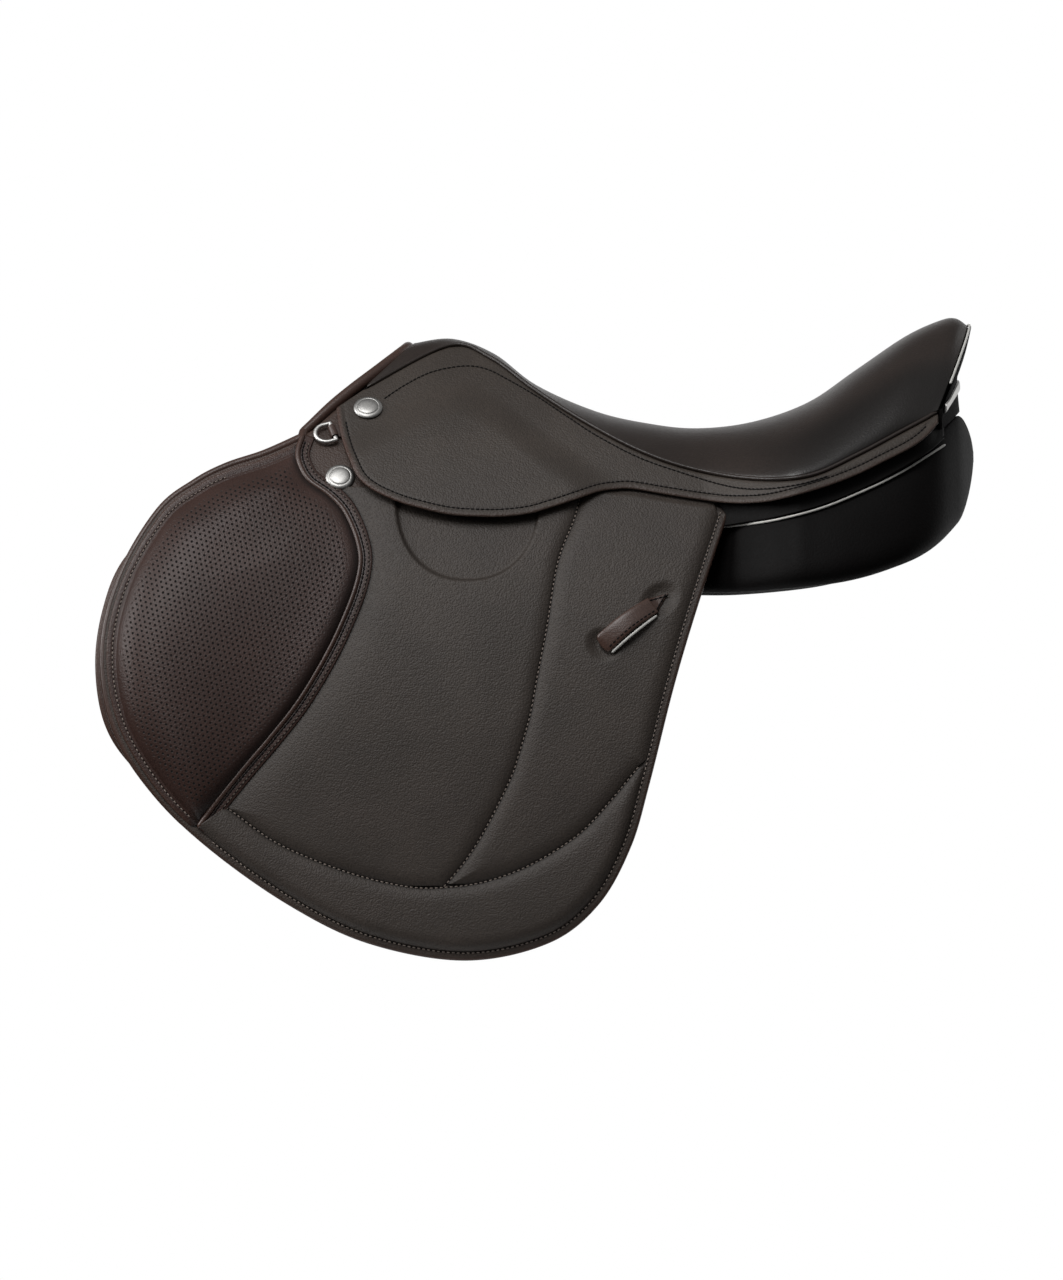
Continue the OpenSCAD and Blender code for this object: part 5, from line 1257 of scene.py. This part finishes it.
class SADDLE_OT_panels(SaddleOperator, bpy.types.Operator):
    """Make the padded panels that lie on the horse, with their piping"""

    bl_idname = "saddle.panels"
    bl_label = "Panels"

    def execute(self, context):
        finish = self.finish_of("panel leather")
        rows = curve(PANEL_SHARES)
        share = rows[:, :1]
        along = PANEL_FRONT + PANEL_LENGTH * share
        w = np.linspace(0, 2 * np.pi, PANEL_SIDES, endpoint=False)[None]
        x = np.broadcast_to(along, (len(rows), w.shape[1]))
        tail, nose = np.clip((share - 0.97) / 0.03, 0, 1), np.clip(1 - share / 0.06, 0, 1)
        close = np.maximum(0.15, np.sqrt(1 - tail ** 2)) * lerp(1, 0.8, nose ** 2)
        a, b = ((1 + close * np.sign(f) * np.abs(f) ** 0.5) / 2 for f in (np.cos(w), np.sin(w)))
        col = [rows[:, k:k + 1] for k in range(rows.shape[1])]
        z = PANEL_LOW + PANEL_HEIGHT * lerp(lerp(col[1], col[3], a), lerp(col[2], col[4], a), b)
        outer = flank(x, z) - lerp(col[6], col[5], b) * PANEL_INSET
        rings = np.stack([x, -lerp(CHANNEL_HALF, outer, a), z], -1)
        line = evenly(curve(PANEL_PIPING), PIPING_POINTS)
        low, high, upper_in, lower_in = (np.interp(line[:, 0], along[:, 0], rows[:, k])
                                         for k in (3, 4, 5, 6))
        low, high = PANEL_LOW + PANEL_HEIGHT * low, PANEL_LOW + PANEL_HEIGHT * high
        up = np.clip((line[:, 1] - low) / (high - low), 0, 1)
        path = on_flank(*line.T, -lerp(lower_in, upper_in, up) * PANEL_INSET + 0.3)
        fx = np.linspace(*FACING_X, FACING_ROWS)
        high = np.stack([fx, skirt_edge_z(fx) + FACING_TUCK], 1)
        low = np.stack([fx, np.interp(fx, *curve(FACING_LOW).T)], 1)

        def facing(x, z):
            down = skirt_edge_z(x) + FACING_TUCK - z
            return -1.5 - 4.5 * smooth(down / 16) - 0.03 * np.maximum(x - 148, 0) ** 2

        band = on_flank(*strip(high, low, lambda x, z: facing(x, z) - 2, facing, FACING_COLUMNS))
        for name, hand in HANDS:
            strap = ring_object("facing_" + name, band, finish, hand=hand)
            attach(strap, ROOT)
            panel = ring_object("panel_cover_" + name, rings, finish, hand=hand)
            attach(panel, ROOT)
            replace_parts(panel, "panel_" + name)
            cord = cord_object("panel_piping_" + name, path, PIPING_RADIUS["panel"], 0.01,
                               self.finish_of("pale piping"), hand, 10)
            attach(cord, ROOT)
        return {"FINISHED"}


class SADDLE_OT_under_flaps(SaddleOperator, bpy.types.Operator):
    """Make the sweat flaps and the padded blocks on them"""

    bl_idname = "saddle.under_flaps"
    bl_label = "Under the flaps"

    def block(self, low, high, edge):
        """Rings of a block: a rounded oblong that leans with the sweat flap's edge, and its dome."""
        low, high = flap_points(low), flap_points(high)
        w = np.linspace(0, 2 * np.pi, BLOCK_POINTS)[:-1]
        u, v = (np.sign(f) * np.abs(f) ** 0.55 for f in (np.cos(w), np.sin(w)))
        z = (low[1] + high[1]) / 2 + v * (high[1] - low[1]) / 2
        lean = 0.8 * (x_at(edge, z) - x_at(edge, z.mean()))
        ring = np.stack([(low[0] + high[0]) / 2 + u * (high[0] - low[0]) / 2 + lean, z], 1)

        def outer(x, z):
            return SWEAT_OUT + 1 + BLOCK_RISE * dome(away(x, z, np.vstack([ring, ring[:1]])) / 14)

        return on_side(*sheet(ring, ring.mean(0), level(SWEAT_OUT + 0.3), outer, BLOCK_RINGS))

    def execute(self, context):
        finish = self.finish_of("under leather")
        outline = curve(flap_points(SWEAT_SHARES))
        top = np.linspace(outline[-1], outline[0], 40)[1:-1]
        closed = evenly(np.vstack([outline, top, outline[:1]]), SWEAT_POINTS)[:-1]
        x, z, d = sheet(closed, SWEAT_CENTRE, level(SWEAT_IN), level(SWEAT_OUT), SWEAT_RINGS)
        worn = 1 - ramp(away(x, z, outline), 1, 3)
        edges = {"knee": outline[:110], "thigh": outline[121:]}
        blocks = {label: self.block(*corners, edges[label]) for label, corners in BLOCK_CORNERS.items()}
        for name, hand in HANDS:
            made = ring_object("sweat_flap_leather_" + name, on_side(x, z, d), finish, {"edge": worn},
                               np.stack([x, z], -1), hand)
            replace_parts(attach(made, ROOT), "sweat_flap_" + name)
            for label, rings in blocks.items():
                block = ring_object(f"{label}_block_cover_{name}", rings, finish, hand=hand)
                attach(block, ROOT)
                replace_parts(block, f"{label}_block_{name}")
        return {"FINISHED"}


class SADDLE_OT_nails(SaddleOperator, bpy.types.Operator):
    """Make the ringed heads of the skirt and flap nails"""

    bl_idname = "saddle.nails"
    bl_label = "Nails"

    def execute(self, context):
        w = np.linspace(0, 2 * np.pi, NAIL_SIDES, endpoint=False)
        r, h = (curve(NAIL_PROFILE, 4)[1:] * [NAIL_D / 2, NAIL_RISE]).T[..., None]
        local = np.stack([r * np.cos(w), r * np.sin(w), np.repeat(h, len(w), 1)], -1)
        along = np.array([1.0, 0, 0])
        for label, (x, z, d) in (("skirt", SKIRT_NAIL), ("flap", FLAP_NAIL)):
            out = side_normals(np.array([z]))[0]
            axes = np.stack([along, np.cross(out, along), out])
            rings = np.array([x, -(side(z) + d), z]) + local @ axes
            for name, hand in HANDS:
                nail = ring_object(f"{label}_nail_{name}", rings, self.finish_of("nail steel"), hand=hand)
                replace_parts(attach(nail, ROOT), f"{label}_nails")
        return {"FINISHED"}


class SADDLE_OT_frame_finishes(SaddleOperator, bpy.types.Operator):
    """Give the tree, straps, bars and dees their finishes"""

    bl_idname = "saddle.frame_finishes"
    bl_label = "Frame finishes"

    def execute(self, context):
        for name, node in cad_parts.items():
            found = [key for key in FRAME_FINISHES if name.startswith(key)]
            if found and not node.hide_render:
                node.data.materials.clear()
                node.data.materials.append(self.finish_of(FRAME_FINISHES[max(found, key=len)]))
        return {"FINISHED"}


class SADDLE_OT_stage(SaddleOperator, bpy.types.Operator):
    """Make the floor, the light and the camera"""

    bl_idname = "saddle.stage"
    bl_label = "Stage"

    def execute(self, context):
        context.scene.view_settings.view_transform = "Standard"
        self.floor()
        self.surround(context.scene)
        for name, (place, size, power, mirrored_in_gloss) in LAMPS.items():
            lamp = bpy.data.lights.new(name, "AREA")
            lamp.shape, lamp.size, lamp.energy = "SQUARE", size, power
            made = bpy.data.objects.new(name, lamp)
            made.location, made.visible_glossy = place, mirrored_in_gloss
            x, y, z = np.array(LAMP_AIM) - np.array(place)
            made.rotation_euler = (math.atan2(math.hypot(x, y), -z), 0, math.atan2(y, x) - math.pi / 2)
            context.collection.objects.link(made)
        camera = bpy.data.cameras.new("camera")
        camera.lens, camera.sensor_width, camera.sensor_fit = CAMERA_LENS, 36.0, "AUTO"
        camera.clip_end = 50.0
        made = bpy.data.objects.new("camera", camera)
        made.location, made.rotation_euler = CAMERA_AT, (math.pi / 2, 0, 0)
        context.collection.objects.link(made)
        context.scene.camera = made
        return {"FINISHED"}

    def floor(self):
        """A pale slab below the saddle."""
        material, w = start_material("pale floor")
        end_material(w, {"Base Color": (0.85, 0.85, 0.85, 1.0), "Roughness": 0.8})
        corner = np.array([[-1, -1], [1, -1], [1, 1], [-1, 1]]) * FLOOR_HALF + [FLOOR_X, 0]
        points = np.vstack([np.column_stack([corner, np.full(4, z)]) for z in FLOOR_Z])
        faces = [[0, 1, 2, 3], [4, 5, 6, 7], [0, 1, 5, 4], [1, 2, 6, 5], [2, 3, 7, 6], [3, 0, 4, 7]]
        new_object("floor", points, [np.array(faces)], material)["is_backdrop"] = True

    def surround(self, scene):
        """White to the camera, and a plain level of light that fades downwards and behind the saddle.

        Glossy and transmitted rays see the white straight behind, and behind to the cantle's side.
        """
        world = bpy.data.worlds.new("surround")
        scene.world = world
        world.use_nodes = True
        world.node_tree.nodes.clear()
        w = Wire(world.node_tree)
        x = w.make("ShaderNodeSeparateXYZ", None, {"Vector": w.make("ShaderNodeTexCoord", out=0)})
        y, z = x.other(1), x.other(2)
        light = z.step(-0.1, 0.9, 0.04, 0.4) * y.step(-0.2, 0.5, 1.0, 0.3)
        path = w.make("ShaderNodeLightPath")
        seen, gloss, through = (path.other(f"Is {kind} Ray")
                                for kind in ("Camera", "Glossy", "Transmission"))
        behind = y.step(0.86, 0.98)
        behind = behind + x.step(0.3, 0.6) * y.step(0.2, 0.6) * (1 - behind)
        shown = seen + (gloss + through) * behind
        shade = w.make("ShaderNodeBackground", None,
                       {"Color": (1, 1, 1, 1), "Strength": light + shown * (1 - light)})
        w.make("ShaderNodeOutputWorld", None, {"Surface": shade})


STEPS = (SADDLE_OT_finishes, SADDLE_OT_seat, SADDLE_OT_cantle, SADDLE_OT_skirts, SADDLE_OT_flaps,
         SADDLE_OT_knee_pads, SADDLE_OT_panels_sewn, SADDLE_OT_keepers, SADDLE_OT_pommel,
         SADDLE_OT_panels, SADDLE_OT_under_flaps, SADDLE_OT_nails, SADDLE_OT_frame_finishes,
         SADDLE_OT_stage)


class SADDLE_PT_steps(bpy.types.Panel):
    """Lists the steps of the build in the sidebar"""

    bl_label = "Jumping saddle"
    bl_idname = "SADDLE_PT_steps"
    bl_space_type = "VIEW_3D"
    bl_region_type = "UI"
    bl_category = "Saddle"

    def draw(self, context):
        for step in STEPS:
            self.layout.operator(step.bl_idname)


CLASSES = (SaddleSizes, SaddleColours) + STEPS + (SADDLE_PT_steps,)


def register():
    for each in CLASSES:
        bpy.utils.register_class(each)
    bpy.types.Scene.saddle_sizes = bpy.props.PointerProperty(type=SaddleSizes)
    bpy.types.Scene.saddle_colours = bpy.props.PointerProperty(type=SaddleColours)


def unregister():
    del bpy.types.Scene.saddle_colours
    del bpy.types.Scene.saddle_sizes
    for each in reversed(CLASSES):
        bpy.utils.unregister_class(each)


def main():
    register()
    for step in STEPS:
        group, name = step.bl_idname.split(".")
        getattr(getattr(bpy.ops, group), name)()
    boxes = {"cad": CAD_BOX, "visual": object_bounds()}
    {key: [list(corner) for corner in box] for key, box in boxes.items()}


if __name__ == "__main__":
    main()
